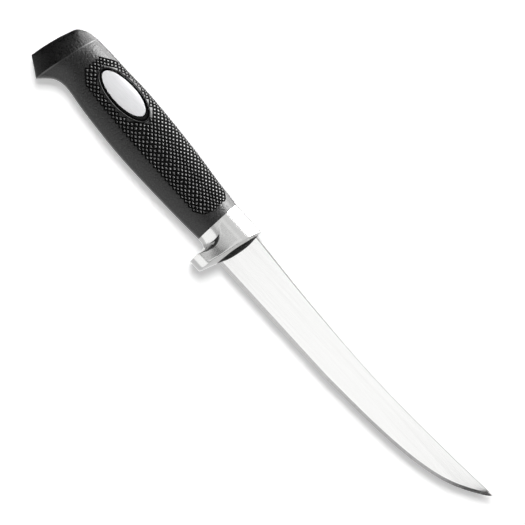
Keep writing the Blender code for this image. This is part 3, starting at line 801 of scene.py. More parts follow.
FRONT_REACH = curve([(row[0], row[1]) for row in FRONT])
FRONT_FALL = curve([(row[0], row[2]) for row in FRONT])
SCOOP_CURVE = curve(SCOOP)
# How far the guard has swelled from the handle's section to its flat plate, along the scoop.
SWELL = curve(((0.0, 0.0), (0.66, 0.0), (0.75, 0.08), (0.87, 0.42), (0.96, 0.85), (1.0, 1.0)))


def plate_half(y):
    """Half thickness of the guard at a height."""
    height = np.clip((y - NECK_MIDDLE) / NECK_HALF, 0, 1)
    above = (1 - height**SECTION_POWER) ** (1 / SECTION_POWER) * egg(height)
    into = np.clip((-QUILLON_DROP + QUILLON_LOOK - y) / QUILLON_LOOK, 0, 1)
    return HALF_THICKNESS * np.where(y >= NECK_MIDDLE, above, np.sqrt(1 - into * into))


def guard_front(y, z):
    """How far the guard's bowed front reaches at points of it."""
    share = (y + QUILLON_DROP) / (NECK_TOP + QUILLON_DROP)
    half = np.maximum(plate_half(y), BOW_LEAST_HALF)
    return FRONT_BOW * (FRONT_REACH(share) - FRONT_FALL(share) * np.minimum(1.0, (z / half) ** 2))


def scoop_x(y):
    share = (NECK_MIDDLE - y) / (NECK_MIDDLE + QUILLON_DROP)
    return GUARD_BACK + GUARD_LENGTH * SCOOP_CURVE(share)


def turns_round(around):
    return np.arange(around) * 2 * math.pi / around


def guard_outline(around, swell, sink):
    """Height and half thickness round the guard, between neck (swell 0) and plate (swell 1)."""
    height, width = section(turns_round(around))
    y, z = NECK_MIDDLE + NECK_HALF * height, HALF_THICKNESS * width
    low = NECK_MIDDLE + height * (NECK_MIDDLE + QUILLON_DROP)
    neck = NECK_MIDDLE + height * (NECK_HALF + NECK_DROP * sink)
    swollen = mix(z, np.sign(z) * plate_half(low), swell)
    return np.where(height < 0, mix(neck, low, swell), y), np.where(height < 0, swollen, z)


def upright_share(around, ends=0.988):
    """Share of the way up an upright slot for points round it, square across its ends."""
    return (1 + np.clip(np.cos(turns_round(around)) / ends, -1, 1)) / 2


def two_sided(around, half):
    """Half widths round a slot, signed by their side, and 0 in the middle plane."""
    side = np.sin(turns_round(around))
    return np.where(np.isclose(side, 0, atol=1e-9), 0.0, np.copysign(half, side))


def blade_hole(around, grow):
    """Height and half thickness round the blade where it leaves the guard, grown all round."""
    y = mix(-EDGE_DROP - grow, SPINE_HEIGHT + grow, upright_share(around))
    face = EDGE_HALF + FACE_SLOPE * (y + EDGE_DROP - BEVEL_WIDTH)
    edge = EDGE_HALF * (y + EDGE_DROP) / BEVEL_WIDTH
    z = np.maximum(0.0, np.minimum(np.minimum(face, edge), STOCK_HALF)) + grow
    return y, two_sided(around, z)


def slot_outline(around, low, high):
    """Height and half width round a slot for flat steel, with the fit's play."""
    y = mix(low, high, upright_share(around))
    return np.where(y < 0, y - FIT, y + FIT), two_sided(around, STOCK_HALF + FIT)


def mouth_outline(around, shrink):
    """Height and half width round the guard's oval mouth, shrunk all round."""
    middle = (SPINE_HEIGHT - EDGE_DROP) / 2
    half_height = (SPINE_HEIGHT + EDGE_DROP) / 2 + MOUTH_BEYOND_BLADE
    half_width = HALF_THICKNESS - GUARD_RIM - MOUTH_BORDER
    turns = turns_round(around)
    up = signed_power(np.cos(turns), 2 / MOUTH_POWER)
    out = signed_power(np.sin(turns), 2 / MOUTH_POWER)
    return middle + up * (half_height - shrink), out * (half_width - shrink)


def blend(a, b, share):
    """An outline between two others."""
    return mix(a[0], b[0], share), mix(a[1], b[1], share)


def front_loop(outline, back=0.0):
    """An outline laid on the guard's bowed front, or behind it."""
    return stack(guard_front(*outline) - back, *outline)


def rolled(y):
    """How much thinner the guard is at the scoop's edge, where the wheel rolled its flat sides away."""
    return ROLL_DEPTH / HALF_THICKNESS * np.exp(-(((y - ROLL_MIDDLE) / ROLL_REACH) ** 2))


def build_guard(settings):
    """Neck, scoop, flat sides and quillon, bowed front, and inside the mouth, slot and pocket."""
    around = settings.around
    loops = []
    plate = guard_outline(around, 1.0, 1.0)
    for along in (0.0, 0.008, 0.15, 0.3, 0.45, 0.55, *np.linspace(0.64, 1.0, 26)):
        y, z = guard_outline(around, SWELL(along), min(1.0, along) ** 2)
        z = z * (1 - SWELL(along) * rolled(plate[0]))
        loops.append(stack(GUARD_BACK + along * (scoop_x(y) - GUARD_BACK), y, z))
    neck_end = len(loops) - 1
    reach = guard_front(*plate) - RIM_LOOK
    for share in (0.06, 0.13, 0.21, 0.3, 0.4, 0.52, 0.64, 0.76, 0.88):
        roll = 1 - rolled(plate[0]) * (1 - share)
        loops.append(stack(mix(scoop_x(plate[0]), reach, share), plate[0], plate[1] * roll))
    flats = range(neck_end, len(loops) - 1)
    middle = (NECK_TOP - QUILLON_DROP) / 2
    shrink_y, shrink_z = 1 - RIM_LOOK / (NECK_TOP - middle), 1 - RIM_LOOK / HALF_THICKNESS
    rim = (middle + (plate[0] - middle) * shrink_y, plate[1] * shrink_z)
    for turn in np.radians((0, 15, 30, 45, 60, 75)):
        halfway = blend(plate, rim, 1 - math.cos(turn))
        loops.append(front_loop(halfway, RIM_LOOK * (1 - math.sin(turn))))
    mouth = mouth_outline(around, 0.0)
    for share in (0.0, 0.25, 0.5, 0.75, 1.0):
        loops.append(front_loop(blend(rim, mouth, share)))
    loops.append(stack(-MOUTH_FLOOR, *mouth))
    slot = slot_outline(around, -EDGE_DROP, SPINE_HEIGHT)
    tang = slot_outline(around, -TANG_HEIGHT / 2, TANG_HEIGHT / 2 + TANG_RISE * 0.1)
    pocket = GUARD_BACK + SPIGOT_DEPTH
    seat = SHOULDERS - FIT
    for x, outline in ((-MOUTH_FLOOR, slot), (seat, slot), (seat, tang), (pocket, tang)):
        loops.append(stack(x, *outline))
    inner = handle_point(0.0, turns_round(around), GRIP_WALL)
    for x in (pocket, GUARD_BACK):
        loops.append(stack(x, inner[:, 1], inner[:, 2]))
    finishes = [polished_guard(settings), satin_guard(settings)]
    guard = loft("guard_polished", loops, finishes, ring=True, smooth_below=28)
    for face in guard.data.polygons:
        # The quillon's sides lean a little and are still belt finished.
        least = 0.97 if face.center.y < PLACE.y else 0.9995
        if face.index // around in flats and abs(face.normal.z) > least:
            face.material_index = 1
    return guard


def build_seal(settings):
    """Black filling of the guard's mouth, close to the metal all round."""
    around = settings.around
    outer, hole = mouth_outline(around, SEAM), blade_hole(around, SEAM)
    floor = JOINT - MOUTH_FLOOR
    loops = [front_loop(blend(outer, hole, share)) for share in np.linspace(0, 1, 9)]
    loops.append(stack(floor, *hole))
    loops.append(stack(floor, *outer))
    return loft("seal_cast", loops, [seal_painted_shade_and_glints(settings)], ring=True, smooth_below=40)


# Grip


def butt_point(height, corner_height):
    """Outline of the butt in the middle plane at a share of the section's height."""
    beak, corner = STATIONS[-1], BUTT[-1]
    if height >= corner_height:
        place = mix(BUTT[0][0], corner[0], (1 - height) / (1 - corner_height))
        along = curve([(-row[0], row[1]) for row in BUTT])(-place)
        rise = curve([(-row[0], row[2]) for row in BUTT])(-place)
    else:
        share = (corner_height - height) / (corner_height + 1)
        along, rise = mix(corner[1], beak[2], share), mix(corner[2], beak[3], share)
    return np.array((HANDLE_FRONT - along * HANDLE_LENGTH, rise * HANDLE_HEIGHT, 0))


def butt_rows(points, first, around, across=18):
    """Closes the last loop of the grip with a blunt rounded butt, row by row from side to side."""
    loop = points[first:]
    half = around // 2
    heights = section(turns_round(around))[0]
    corner = min(range(1, half), key=lambda i: abs(heights[i] - CORNER_HEIGHT))
    rows = [[first] * (across + 1)]
    for i in range(1, half):
        end = butt_point(heights[i], heights[corner])
        row = [first + i]
        for j in range(1, across):
            q = math.cos(math.pi * j / across)
            flat = np.array((loop[i][0], loop[i][1], 0))
            spot = mix(end, flat, q * q)
            points.append(np.array((spot[0], spot[1], q * loop[i][2])))
            row.append(len(points) - 1)
        row.append(first + around - i)
        rows.append(row)
    rows.append([first + half] * (across + 1))
    faces = []
    for upper, lower in zip(rows, rows[1:]):
        for j in range(across):
            corners = (upper[j], upper[j + 1], lower[j + 1], lower[j])
            faces.append(tuple(dict.fromkeys(corners)))
    return faces


def oval(sides, half_length, half_height, depth, share=1.0, forward=0.0, lower=0.0):
    """An oval loop about the badge, laid at a depth below the grip's surface."""
    turns = turns_round(sides)
    x = GUARD_BACK - BADGE_BEHIND_GUARD + forward + half_length * share * np.cos(turns)
    y = BADGE_ABOVE_AXIS - lower + half_height * share * np.sin(turns)
    return stack(x, y, surface_z(x, y) - depth)


def plate_loops(sides, depth, grow=0.0):
    """Ovals from the middle of the badge plate to its edge."""
    length, height = BADGE_HALF_LENGTH + grow, BADGE_HALF_HEIGHT + grow
    shares = (0.04, 0.2, 0.4, 0.6, 0.8, 0.93, 1.0)
    return [oval(sides, length, height, depth, share) for share in shares]


def dish_loop(sides, depth, shrink=0.0):
    """The outline of the badge's dish, at a depth."""
    length, height = DISH_HALF_LENGTH - shrink, DISH_HALF_HEIGHT - shrink
    return oval(sides, length, height, depth, 1.0, DISH_FORWARD, DISH_LOWER)


def seat_cutter(sides, finish):
    """What the grip loses under its badge: the pocket and the hollowed dish round it."""
    loops = plate_loops(sides, DISH_DEPTH + BADGE_PLATE + SEAM, SEAM)
    loops.append(plate_loops(sides, DISH_DEPTH, SEAM)[-1])
    for depth, shrink in (
        (DISH_DEPTH - GROOVE_LEAN, GROOVE_WIDTH + GROOVE_LEAN),
        (GROOVE_DEPTH, GROOVE_WIDTH - GROOVE_LEAN / 2),
        (GROOVE_DEPTH, LIP_LINE + GROOVE_LEAN),
        (DISH_WALL, LIP_LINE),
    ):
        loops.append(dish_loop(sides, depth, shrink))
    loops.append(loops[-1] * (1, 1, 0) + (0, 0, HALF_THICKNESS + 2 * LIP_RADIUS))
    return loft("seat", loops, [finish])


def lip_ring(sides, finish, across=8):
    """Raised lip on the grip's surface along the dish's edge."""
    line = dish_loop(sides, 0.05 * MM)
    forward = np.roll(line, -1, axis=0) - np.roll(line, 1, axis=0)
    forward /= np.linalg.norm(forward, axis=1, keepdims=True)
    side = np.cross(forward, (0, 0, 1))
    side /= np.linalg.norm(side, axis=1, keepdims=True)
    up = np.cross(side, forward)
    loops = []
    for n in range(across):
        turn = 2 * math.pi * (n + 0.5) / across
        loops.append(line + (side * math.cos(turn) + up * math.sin(turn)) * LIP_LINE)
    return loft("lip", loops, [finish], ring=True)


class Lattice:
    """Places of the studs' middles (even sums of the two numbers) and corners (odd) on the handle."""

    def __init__(self, settings):
        self.pitch = settings.pitch
        self.lean = math.tan(settings.lean)
        self.numbers = np.linspace(0, LAST_STATION, 900)
        self.rows = {}
        self.corners = {}

    def station_of(self, i, j):
        """Station and turn of a lattice place."""
        if j not in self.rows:
            turn = math.copysign(float(ROW_CURVE(abs(j) / 2)), j)
            line = handle_point(self.numbers, turn)
            reach = line[:, 0] - self.lean * (line[:, 1] - LEAN_PIVOT)
            self.rows[j] = (turn, reach)
        turn, reach = self.rows[j]
        x = FIRST_COLUMN + i * self.pitch / 2
        return float(np.interp(-x, -reach, self.numbers)), turn

    def point(self, i, j):
        """A lattice place on the handle's surface and the outward normal there."""
        if (i, j) not in self.corners:
            number, turn = self.station_of(i, j)
            self.corners[i, j] = (handle_point(number, turn), handle_normal(number, turn))
        return self.corners[i, j]

    def kept(self, i, j):
        """Number along its row of a lattice place, drawn back to the panel's end by the guard."""
        x, y, _ = self.point(i, j)[0]
        end = np.interp(y / MM, *zip(*PANEL_GUARD_END)) * MM
        return i - max(0.0, x - end) / (self.pitch / 2)

    def holds(self, i, j):
        """Whether the panel has a stud there: inside its outline, and on the upper side off the dish."""
        x, y, z = self.point(i, j)[0] / MM
        butt_end = np.interp(y, *zip(*PANEL_BUTT_END))
        guard_end = np.interp(y, *zip(*PANEL_GUARD_END))
        if not butt_end < x < guard_end or abs(j) > 2 * LAST_ROW:
            return False
        across = (x - (GUARD_BACK - BADGE_BEHIND_GUARD + DISH_FORWARD) / MM) / CLEAR_HALF_LENGTH
        up = y - (BADGE_ABOVE_AXIS - DISH_LOWER) / MM
        return z < 0 or math.hypot(across, up / (CLEAR_ABOVE if up > 0 else CLEAR_BELOW)) > 1

    def cells(self):
        """Lattice places of all studs, row by row."""
        rows = range(-int(2 * LAST_ROW), int(2 * LAST_ROW) + 1)
        return [(i, j) for j in rows for i in COLUMNS if (i + j) % 2 == 0 and self.holds(i, j)]


def corners_of(i, j):
    """Lattice places of the four corners of a stud's diamond, in turn."""
    return (i + 1, j), (i, j + 1), (i - 1, j), (i, j - 1)


def panel_cutter(lattice, cells, depth, finish):
    """The sunken panel: every stud's diamond, from its floor to clear above the surface."""
    points, index, held = [], {}, set(cells)

    def corner(i, j, level):
        if (i, j, level) not in index:
            index[i, j, level] = len(points)
            spot, normal = lattice.point(lattice.kept(i, j), j)
            around = corners_of(i, j)
            inside = [lattice.point(*cell)[0] for cell in around if cell in held]
            outside = [lattice.point(*cell)[0] for cell in around if cell not in held]
            if (i + j) % 2 and outside and lattice.kept(i, j) == i:
                outward = np.mean(outside, axis=0) - np.mean(inside, axis=0)
                spot = spot + outward / np.linalg.norm(outward) * PANEL_MARGIN
            points.append(spot + normal * (-depth if level == 0 else PANEL_CLEARANCE))
        return index[i, j, level]

    faces = []
    for i, j in cells:
        ring = corners_of(i, j)
        beside = ((i + 1, j + 1), (i - 1, j + 1), (i - 1, j - 1), (i + 1, j - 1))
        for level in (0, 1):
            middle = corner(i, j, level)
            for n in range(4):
                a, b = corner(*ring[n], level), corner(*ring[(n + 1) % 4], level)
                faces.append((middle, a, b) if level else (middle, b, a))
        for n in range(4):
            if beside[n] not in held:
                a, b = ring[n], ring[(n + 1) % 4]
                faces.append((corner(*a, 0), corner(*b, 0), corner(*b, 1), corner(*a, 1)))
    return make("panel", points, faces, [finish])


def core_stations():
    """Stations of the grip's cavity, which ends beyond the tang."""
    numbers = np.linspace(0, LAST_STATION, 2000)
    spine, belly, _ = station(numbers)
    share = (TANG_RISE - belly[:, 1]) / (spine[:, 1] - belly[:, 1])
    x = mix(belly[:, 0], spine[:, 0], share)
    end = float(np.interp(-(SHOULDERS - TANG_LENGTH - CORE_WALL), -x, numbers))
    return [*range(math.ceil(end)), end]


def build_grip(settings, studs, badge):
    """The rubber moulding: skin, butt, cavity, lip, the badge's seat and the sunken panel."""
    around = settings.around
    turns = turns_round(around)
    finish = moulded_rubber(settings, "moulded_rubber", 1.0, 0.5)
    lip = moulded_rubber(settings, "moulded_rubber_lip", 1.2, 0.2)
    recess_shade_finish = recess_rubber_painted_shade(settings)
    front = handle_point(0.0, turns)
    inner = handle_point(0.0, turns, GRIP_WALL)
    face = GUARD_BACK - SEAM
    loops = [stack(face, inner[:, 1], inner[:, 2]), stack(face, front[:, 1], front[:, 2])]
    steps = np.arange(settings.step, LAST_STATION, settings.step)
    loops += [handle_point(number, turns) for number in steps[steps < LAST_STATION - CREASE_CLEAR]]
    loops += [handle_point(LAST_STATION - back, turns) for back in NEAR_CREASE]
    rise = np.clip(section(turns)[0] - RIDGE_END, 0, 1)[:, None]
    ridge = handle_point(LAST_STATION, turns, -RIDGE)
    loops.append(mix(handle_point(LAST_STATION, turns), ridge, rise))
    points = [point for loop in loops for point in loop]
    faces = bands(0, len(loops), around)
    faces += butt_rows(points, len(points) - around, around)
    places = core_stations()
    cavity = [handle_point(number, turns, GRIP_WALL) for number in places[1:-1]]
    cavity.append(handle_point(places[-1], turns, GRIP_WALL) - (JOINT, 0, 0))
    start = len(points)
    points += [point for loop in cavity for point in loop]
    faces += bands(start, len(cavity), around)
    for i in range(around):
        j = (i + 1) % around
        faces.append((i, start + i, start + j, j))
    faces.append(tuple(range(len(points) - around, len(points))))
    grip = make("grip_moulded", points, faces, [finish, crease_rubber_painted_highlight(settings)])
    # the band along the butt's crease takes the rubber with the painted highlight line
    for face in grip.data.polygons[(len(loops) - 2) * around : (len(loops) - 1) * around]:
        face.material_index = 1
    combine(grip, lip_ring(badge.sides, lip), "UNION")
    # the dish's and the panel's cut faces take the nearly black rubber, painted shade in the recesses
    combine(grip, seat_cutter(badge.sides, recess_shade_finish), "DIFFERENCE")
    lattice = Lattice(studs)
    cutter = panel_cutter(lattice, lattice.cells(), studs.depth, recess_shade_finish)
    combine(grip, cutter, "DIFFERENCE")
    smooth(grip, 30)
    return grip


def stud_places(settings):
    """A mesh of bare points, one for each stud, that carry its turn and its size."""
    lattice = Lattice(settings)
    places, turns, sizes = [], [], []
    for i, j in lattice.cells():
        low, high = lattice.kept(i - 1, j), lattice.kept(i + 1, j)
        spot, normal = lattice.point((low + high) / 2, j)
        along = Vector(lattice.point(high, j)[0] - lattice.point(low, j)[0]) / 2
        across = Vector(lattice.point(i, j + 1)[0] - lattice.point(i, j - 1)[0]) / 2
        up = Vector(normal)
        first = (along - up * along.dot(up)).normalized()
        axes = Matrix((first, up.cross(first), up)).transposed()
        places.append(Vector(spot) - up * (settings.depth + STUD_SINK) + PLACE)
        turns.append(axes.to_quaternion())
        sizes.append((along.length, across.length, settings.depth + STUD_SINK))
    mesh = bpy.data.meshes.new("stud_places")
    mesh.from_pydata(places, [], [])
    turn = mesh.attributes.new("turn", "QUATERNION", "POINT")
    turn.data.foreach_set("value", [part for each in turns for part in each])
    size = mesh.attributes.new("size", "FLOAT_VECTOR", "POINT")
    size.data.foreach_set("vector", [part for each in sizes for part in each])
    return mesh


def stud_tree():
    """Node tree that stands a blunt four-sided stud on every point. Widths are shares of the stud's
    cell in the panel, and the shoulder's height is a share of the stud's."""
    tree = bpy.data.node_groups.new("stand_studs", "GeometryNodeTree")
    for name, kind, value in (
        ("Geometry", "Geometry", None),
        ("Top", "Float", 0.24),
        ("Shoulder", "Float", 0.45),
        ("Foot", "Float", 0.76),
        ("Shoulder height", "Float", 0.82),
        ("Seed", "Int", 0),
        ("Finish", "Material", None),
        ("Wall finish", "Material", None),
    ):
        socket = tree.interface.new_socket(name, in_out="INPUT", socket_type="NodeSocket" + kind)
        if value is not None:
            socket.default_value = value
    tree.interface.new_socket("Geometry", in_out="OUTPUT", socket_type="NodeSocketGeometry")
    given = add(tree, "NodeGroupInput").outputs
    inputs = {"Vertices": 4, "Radius Top": given["Shoulder"], "Radius Bottom": given["Foot"]}
    inputs["Depth"] = given["Shoulder height"]
    cone = add(tree, "GeometryNodeMeshCone", inputs).outputs
    inputs = {"Geometry": cone["Mesh"], "Name": "wall", "Value": cone["Side"]}
    kinds = {"data_type": "BOOLEAN", "domain": "FACE"}
    walled = add(tree, "GeometryNodeStoreNamedAttribute", inputs, **kinds)
    inputs = {0: 1.0, 1: given["Shoulder height"]}
    rest = add(tree, "ShaderNodeMath", inputs, operation="SUBTRACT")
    rise = add(tree, "ShaderNodeCombineXYZ", {"Z": rest.outputs[0]})
    inputs = {"Mesh": walled.outputs[0], "Selection": cone["Top"], "Offset": rise.outputs[0]}
    inputs["Individual"] = False
    taller = add(tree, "GeometryNodeExtrudeMesh", inputs).outputs
    inputs = {0: given["Top"], 1: given["Shoulder"]}
    share = add(tree, "ShaderNodeMath", inputs, operation="DIVIDE")
    inputs = {"Geometry": taller["Mesh"], "Selection": taller["Top"], "Scale": share.outputs[0]}
    stud = add(tree, "GeometryNodeScaleElements", inputs)
    turn = add(tree, "GeometryNodeInputNamedAttribute", {"Name": "turn"}, data_type="QUATERNION")
    size = add(tree, "GeometryNodeInputNamedAttribute", {"Name": "size"}, data_type="FLOAT_VECTOR")
    inputs = {0: (0.97, 0.97, 0.9), 1: (1.0, 1.0, 1.0), "Seed": given["Seed"]}
    wear = add(tree, "FunctionNodeRandomValue", inputs, data_type="FLOAT_VECTOR")
    inputs = {0: size.outputs[0], 1: wear.outputs[0]}
    scale = add(tree, "ShaderNodeVectorMath", inputs, operation="MULTIPLY")
    inputs = {"Points": given["Geometry"], "Instance": stud.outputs[0]}
    inputs |= {"Rotation": turn.outputs[0], "Scale": scale.outputs[0]}
    stand = add(tree, "GeometryNodeInstanceOnPoints", inputs)
    real = add(tree, "GeometryNodeRealizeInstances", {"Geometry": stand.outputs[0]})
    inputs = {"Geometry": real.outputs[0], "Material": given["Finish"]}
    coated = add(tree, "GeometryNodeSetMaterial", inputs)
    wall = add(tree, "GeometryNodeInputNamedAttribute", {"Name": "wall"}, data_type="BOOLEAN")
    inputs = {"Geometry": coated.outputs[0], "Selection": wall.outputs[0]}
    inputs["Material"] = given["Wall finish"]
    done = add(tree, "GeometryNodeSetMaterial", inputs)
    add(tree, "NodeGroupOutput", {"Geometry": done.outputs[0]})
    return tree


def build_studs(settings, grip):
    """The blunt studs of the sunken panel, as one plain mesh."""
    studs = placed("grip_studs", stud_places(settings))
    tree = stud_tree()
    modifier = studs.modifiers.new("studs", "NODES")
    modifier.node_group = tree
    values = {
        "Top": settings.top,
        "Shoulder": settings.shoulder,
        "Seed": settings.seed,
        "Finish": moulded_rubber(grip, "moulded_rubber_studs", 0.8, 0.9),
        "Wall finish": moulded_rubber(grip, "moulded_rubber_walls", 1.0, 0.3),
    }
    for socket in tree.interface.items_tree:
        if socket.in_out == "INPUT" and socket.name in values:
            modifier[socket.identifier] = values[socket.name]
    plain(studs)
    return studs


def build_badge(settings):
    """Bare oval plate that follows the grip's surface, its edge rolled over."""
    sides = settings.sides
    low = plate_loops(sides, DISH_DEPTH + BADGE_PLATE)
    edge = plate_loops(sides, DISH_DEPTH + EDGE_ROLL)[-1]
    length, height = BADGE_HALF_LENGTH - EDGE_INSET, BADGE_HALF_HEIGHT - EDGE_INSET
    turned = oval(sides, length, height, DISH_DEPTH)
    rolled_over = mix(edge, turned, 0.5) + (0, 0, 0.06 * MM)
    top = plate_loops(sides, DISH_DEPTH)[::-1]
    loops = [*low, edge, rolled_over, turned, *top[1:]]
    return loft("badge_bare", loops, [foil_plate(settings)], smooth_below=40)


# Stage


FLOOR_HALF = 4.0  # half the floor's width in metres
FLOOR_GAP = 0.01 * MM  # what keeps the floor clear of the knife
LAMP_PLACE = (-0.48, 0.64, 2.12)
LAMP_SIZE = 0.8
CAMERA_PLACE = (-4.945 * MM, 5.58 * MM)  # the point that the camera looks down on
CAMERA_TURN = 47.5  # degrees
CARD_STEP = 5.0  # degrees between the points of a card, at most
WHITE = (1, 1, 1, 1)


def set_lamp(settings):
    """A soft square lamp, turned to the knife, that metal and rubber don't mirror."""
    light = bpy.data.lights.new("key", "AREA")
    light.shape = "SQUARE"
    light.energy, light.size = settings.key, LAMP_SIZE
    made = placed("key", light)
    made.location = LAMP_PLACE
    made.rotation_euler = (-Vector(LAMP_PLACE)).to_track_quat("-Z", "Y").to_euler()
    made.visible_camera = made.visible_glossy = False


def direct(tree):
    """1 for rays that met no matt surface before, so that mirrored cards don't light the floor."""
    ray = add(tree, "ShaderNodeLightPath")
    inputs = {0: ray.outputs["Diffuse Depth"], 1: 0.5}
    return add(tree, "ShaderNodeMath", inputs, operation="LESS_THAN").outputs[0]


def card(name, azimuths, angles, strength, distance):
    """A studio card, part of a globe round the knife, that shows in reflections alone. Its azimuths
    run from +X, its angles off the vertical, both in degrees."""
    across = math.ceil((azimuths[1] - azimuths[0]) / CARD_STEP) + 1
    down = math.ceil((angles[1] - angles[0]) / CARD_STEP) + 1
    turns = np.radians(np.linspace(*azimuths, across))
    points = []
    for angle in np.radians(np.linspace(*angles, down)):
        ring = stack(np.sin(angle) * np.cos(turns), np.sin(angle) * np.sin(turns), np.cos(angle))
        points += list(distance * ring)
    corners = [row * across + i for row in range(down - 1) for i in range(across - 1)]
    faces = [(i, i + 1, i + across + 1, i + across) for i in corners]
    mesh = bpy.data.meshes.new(name)
    mesh.from_pydata([tuple(point) for point in points], [], faces)
    finish, tree, _ = finish_named(name)
    shown = add(tree, "ShaderNodeMath", {0: direct(tree), 1: strength}, operation="MULTIPLY")
    glow = add(tree, "ShaderNodeEmission", {"Color": WHITE, "Strength": shown.outputs[0]})
    add(tree, "ShaderNodeOutputMaterial", {"Surface": glow.outputs[0]})
    mesh.materials.append(finish)
    made = placed(name, mesh)
    made.visible_camera = made.visible_diffuse = False
    made.visible_shadow = made.visible_transmission = False


def set_floor(settings):
    """Pale matt floor under the knife, which reads white but keeps the knife's shadow."""
    mesh = bpy.data.meshes.new("floor")
    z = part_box("grip")[0].z - FLOOR_GAP
    signs = ((-1, -1), (1, -1), (1, 1), (-1, 1))
    corners = [(x * FLOOR_HALF, y * FLOOR_HALF, z) for x, y in signs]
    mesh.from_pydata(corners, [], [(0, 1, 2, 3)])
    finish, tree, place = finish_named("pale_paper")
    fibre = add(tree, "ShaderNodeTexNoise", {"Vector": place, "Scale": 0.9 / MM, "Detail": 2.0})
    inputs = {0: fibre.outputs[0], 6: rgba(settings.floor, 0.99), 7: rgba(settings.floor)}
    colour = add(tree, "ShaderNodeMix", inputs, data_type="RGBA").outputs[2]
    body = add(tree, "ShaderNodeBsdfDiffuse", {"Color": colour})
    ray = add(tree, "ShaderNodeLightPath")
    inputs = {0: ray.outputs["Is Camera Ray"], 1: settings.glow}
    strength = add(tree, "ShaderNodeMath", inputs, operation="MULTIPLY")
    glow = add(tree, "ShaderNodeEmission", {"Color": WHITE, "Strength": strength.outputs[0]})
    both = add(tree, "ShaderNodeAddShader", {0: body.outputs[0], 1: glow.outputs[0]})
    add(tree, "ShaderNodeOutputMaterial", {"Surface": both.outputs[0]})
    mesh.materials.append(finish)
    floor = placed("floor", mesh)
    floor.visible_glossy = False


def set_sky(settings):
    """Even light all round, and white wherever the camera, metal or glass looks at it."""
    world = bpy.data.worlds.new("white_room")
    bpy.context.scene.world = world
    world.use_nodes = True
    tree = world.node_tree
    tree.nodes.clear()
    ray = add(tree, "ShaderNodeLightPath").outputs
    inputs = {0: ray["Is Glossy Ray"], 1: ray["Is Transmission Ray"]}
    mirrored = add(tree, "ShaderNodeMath", inputs, operation="MAXIMUM")
    inputs = {0: mirrored.outputs[0], 1: direct(tree)}
    first = add(tree, "ShaderNodeMath", inputs, operation="MULTIPLY")
    inputs = {0: first.outputs[0], 1: ray["Is Camera Ray"]}
    seen = add(tree, "ShaderNodeMath", inputs, operation="MAXIMUM")
    inputs = {"Value": seen.outputs[0], "To Min": settings.sky, "To Max": 1.0}
    strength = add(tree, "ShaderNodeMapRange", inputs)
    back = add(tree, "ShaderNodeBackground", {"Color": WHITE, "Strength": strength.outputs[0]})
    add(tree, "ShaderNodeOutputWorld", {"Surface": back.outputs[0]})


def set_camera(settings):
    """Camera straight above, turned so that the knife lies across the picture from corner to corner."""
    camera = bpy.data.cameras.new("camera")
    camera.lens, camera.sensor_width = 150.0, 36.0
    camera.clip_start, camera.clip_end = 0.05, 20.0
    made = placed("camera", camera)
    made.location = (*CAMERA_PLACE, PLACE.z + settings.height)
    made.rotation_euler = (0.0, 0.0, math.radians(CAMERA_TURN))
    bpy.context.scene.camera = made


# Name, azimuths, angles off the vertical, strength and distance of the cards that the knife mirrors.
# Each lies where one part of the knife mirrors it to the camera, and is as bright as that part shows.
CARDS = (
    ("sheen_card", (52, 112), (44, 90), 16.0, 3.9),
    ("low_sheen_card", (52, 128), (90, 135), 6.0, 3.9),
    ("butt_sheen_card", (112, 146), (42, 110), 4.5, 3.9),
    ("bright_card", (45, 145), (37.5, 90), 2.2, 4.0),
    ("spine_side_card", (15, 145), (12, 37.5), 0.8, 4.0),
    ("butt_side_card", (146, 190), (4, 150), 0.02, 4.0),
    ("scoop_near_card", (190, 246), (5.5, 20), 0.55, 4.0),
    ("scoop_side_card", (190, 246), (20, 70), 0.03, 4.0),
    ("scoop_low_card", (190, 246), (70, 150), 0.5, 4.0),
    ("edge_side_card", (250, 286), (13, 29), 0.58, 4.0),
    ("belly_card", (286, 302), (13, 24), 0.44, 4.0),
    ("point_card", (302, 325), (14, 24), 0.38, 4.0),
    ("tip_side_card", (325, 352), (13.4, 40), 0.0, 4.0),
    ("edge_fill_card", (246, 320), (29, 100), 1.3, 4.1),
    ("far_edge_card", (246, 325), (100, 150), 0.72, 4.0),
    ("front_card", (325, 410), (29, 160), 0.72, 4.05),
)


# Operators


class KNIFE_OT_blade(bpy.types.Operator):
    """Makes the ground blade, with its bevel, spine and tang"""

    bl_idname = "knife.make_blade"
    bl_label = "Blade"

    def execute(self, context):
        dress(build_blade(context.scene.knife_blade), "blade_steel", "blade")
        return {"FINISHED"}


class KNIFE_OT_guard(bpy.types.Operator):
    """Makes the polished guard with its satin sides and finger quillon"""

    bl_idname = "knife.make_guard"
    bl_label = "Guard"

    def execute(self, context):
        dress(build_guard(context.scene.knife_guard), "guard_metal", "guard")
        return {"FINISHED"}


class KNIFE_OT_seal(bpy.types.Operator):
    """Makes the black seal between guard and blade"""

    bl_idname = "knife.make_seal"
    bl_label = "Seal"

    def execute(self, context):
        dress(build_seal(context.scene.knife_guard), "seal_compound", "seal")
        return {"FINISHED"}


class KNIFE_OT_grip(bpy.types.Operator):
    """Makes the rubber grip with its sunken panel, lip, badge seat and butt"""

    bl_idname = "knife.make_grip"
    bl_label = "Grip"

    def execute(self, context):
        scene = context.scene
        grip = build_grip(scene.knife_grip, scene.knife_studs, scene.knife_badge)
        dress(grip, "grip_rubber", "grip")
        return {"FINISHED"}


class KNIFE_OT_studs(bpy.types.Operator):
    """Stands the studs in the grip's sunken panel"""

    bl_idname = "knife.make_studs"
    bl_label = "Studs"

    def execute(self, context):
        studs = build_studs(context.scene.knife_studs, context.scene.knife_grip)
        dress(studs, "grip_rubber")
        return {"FINISHED"}


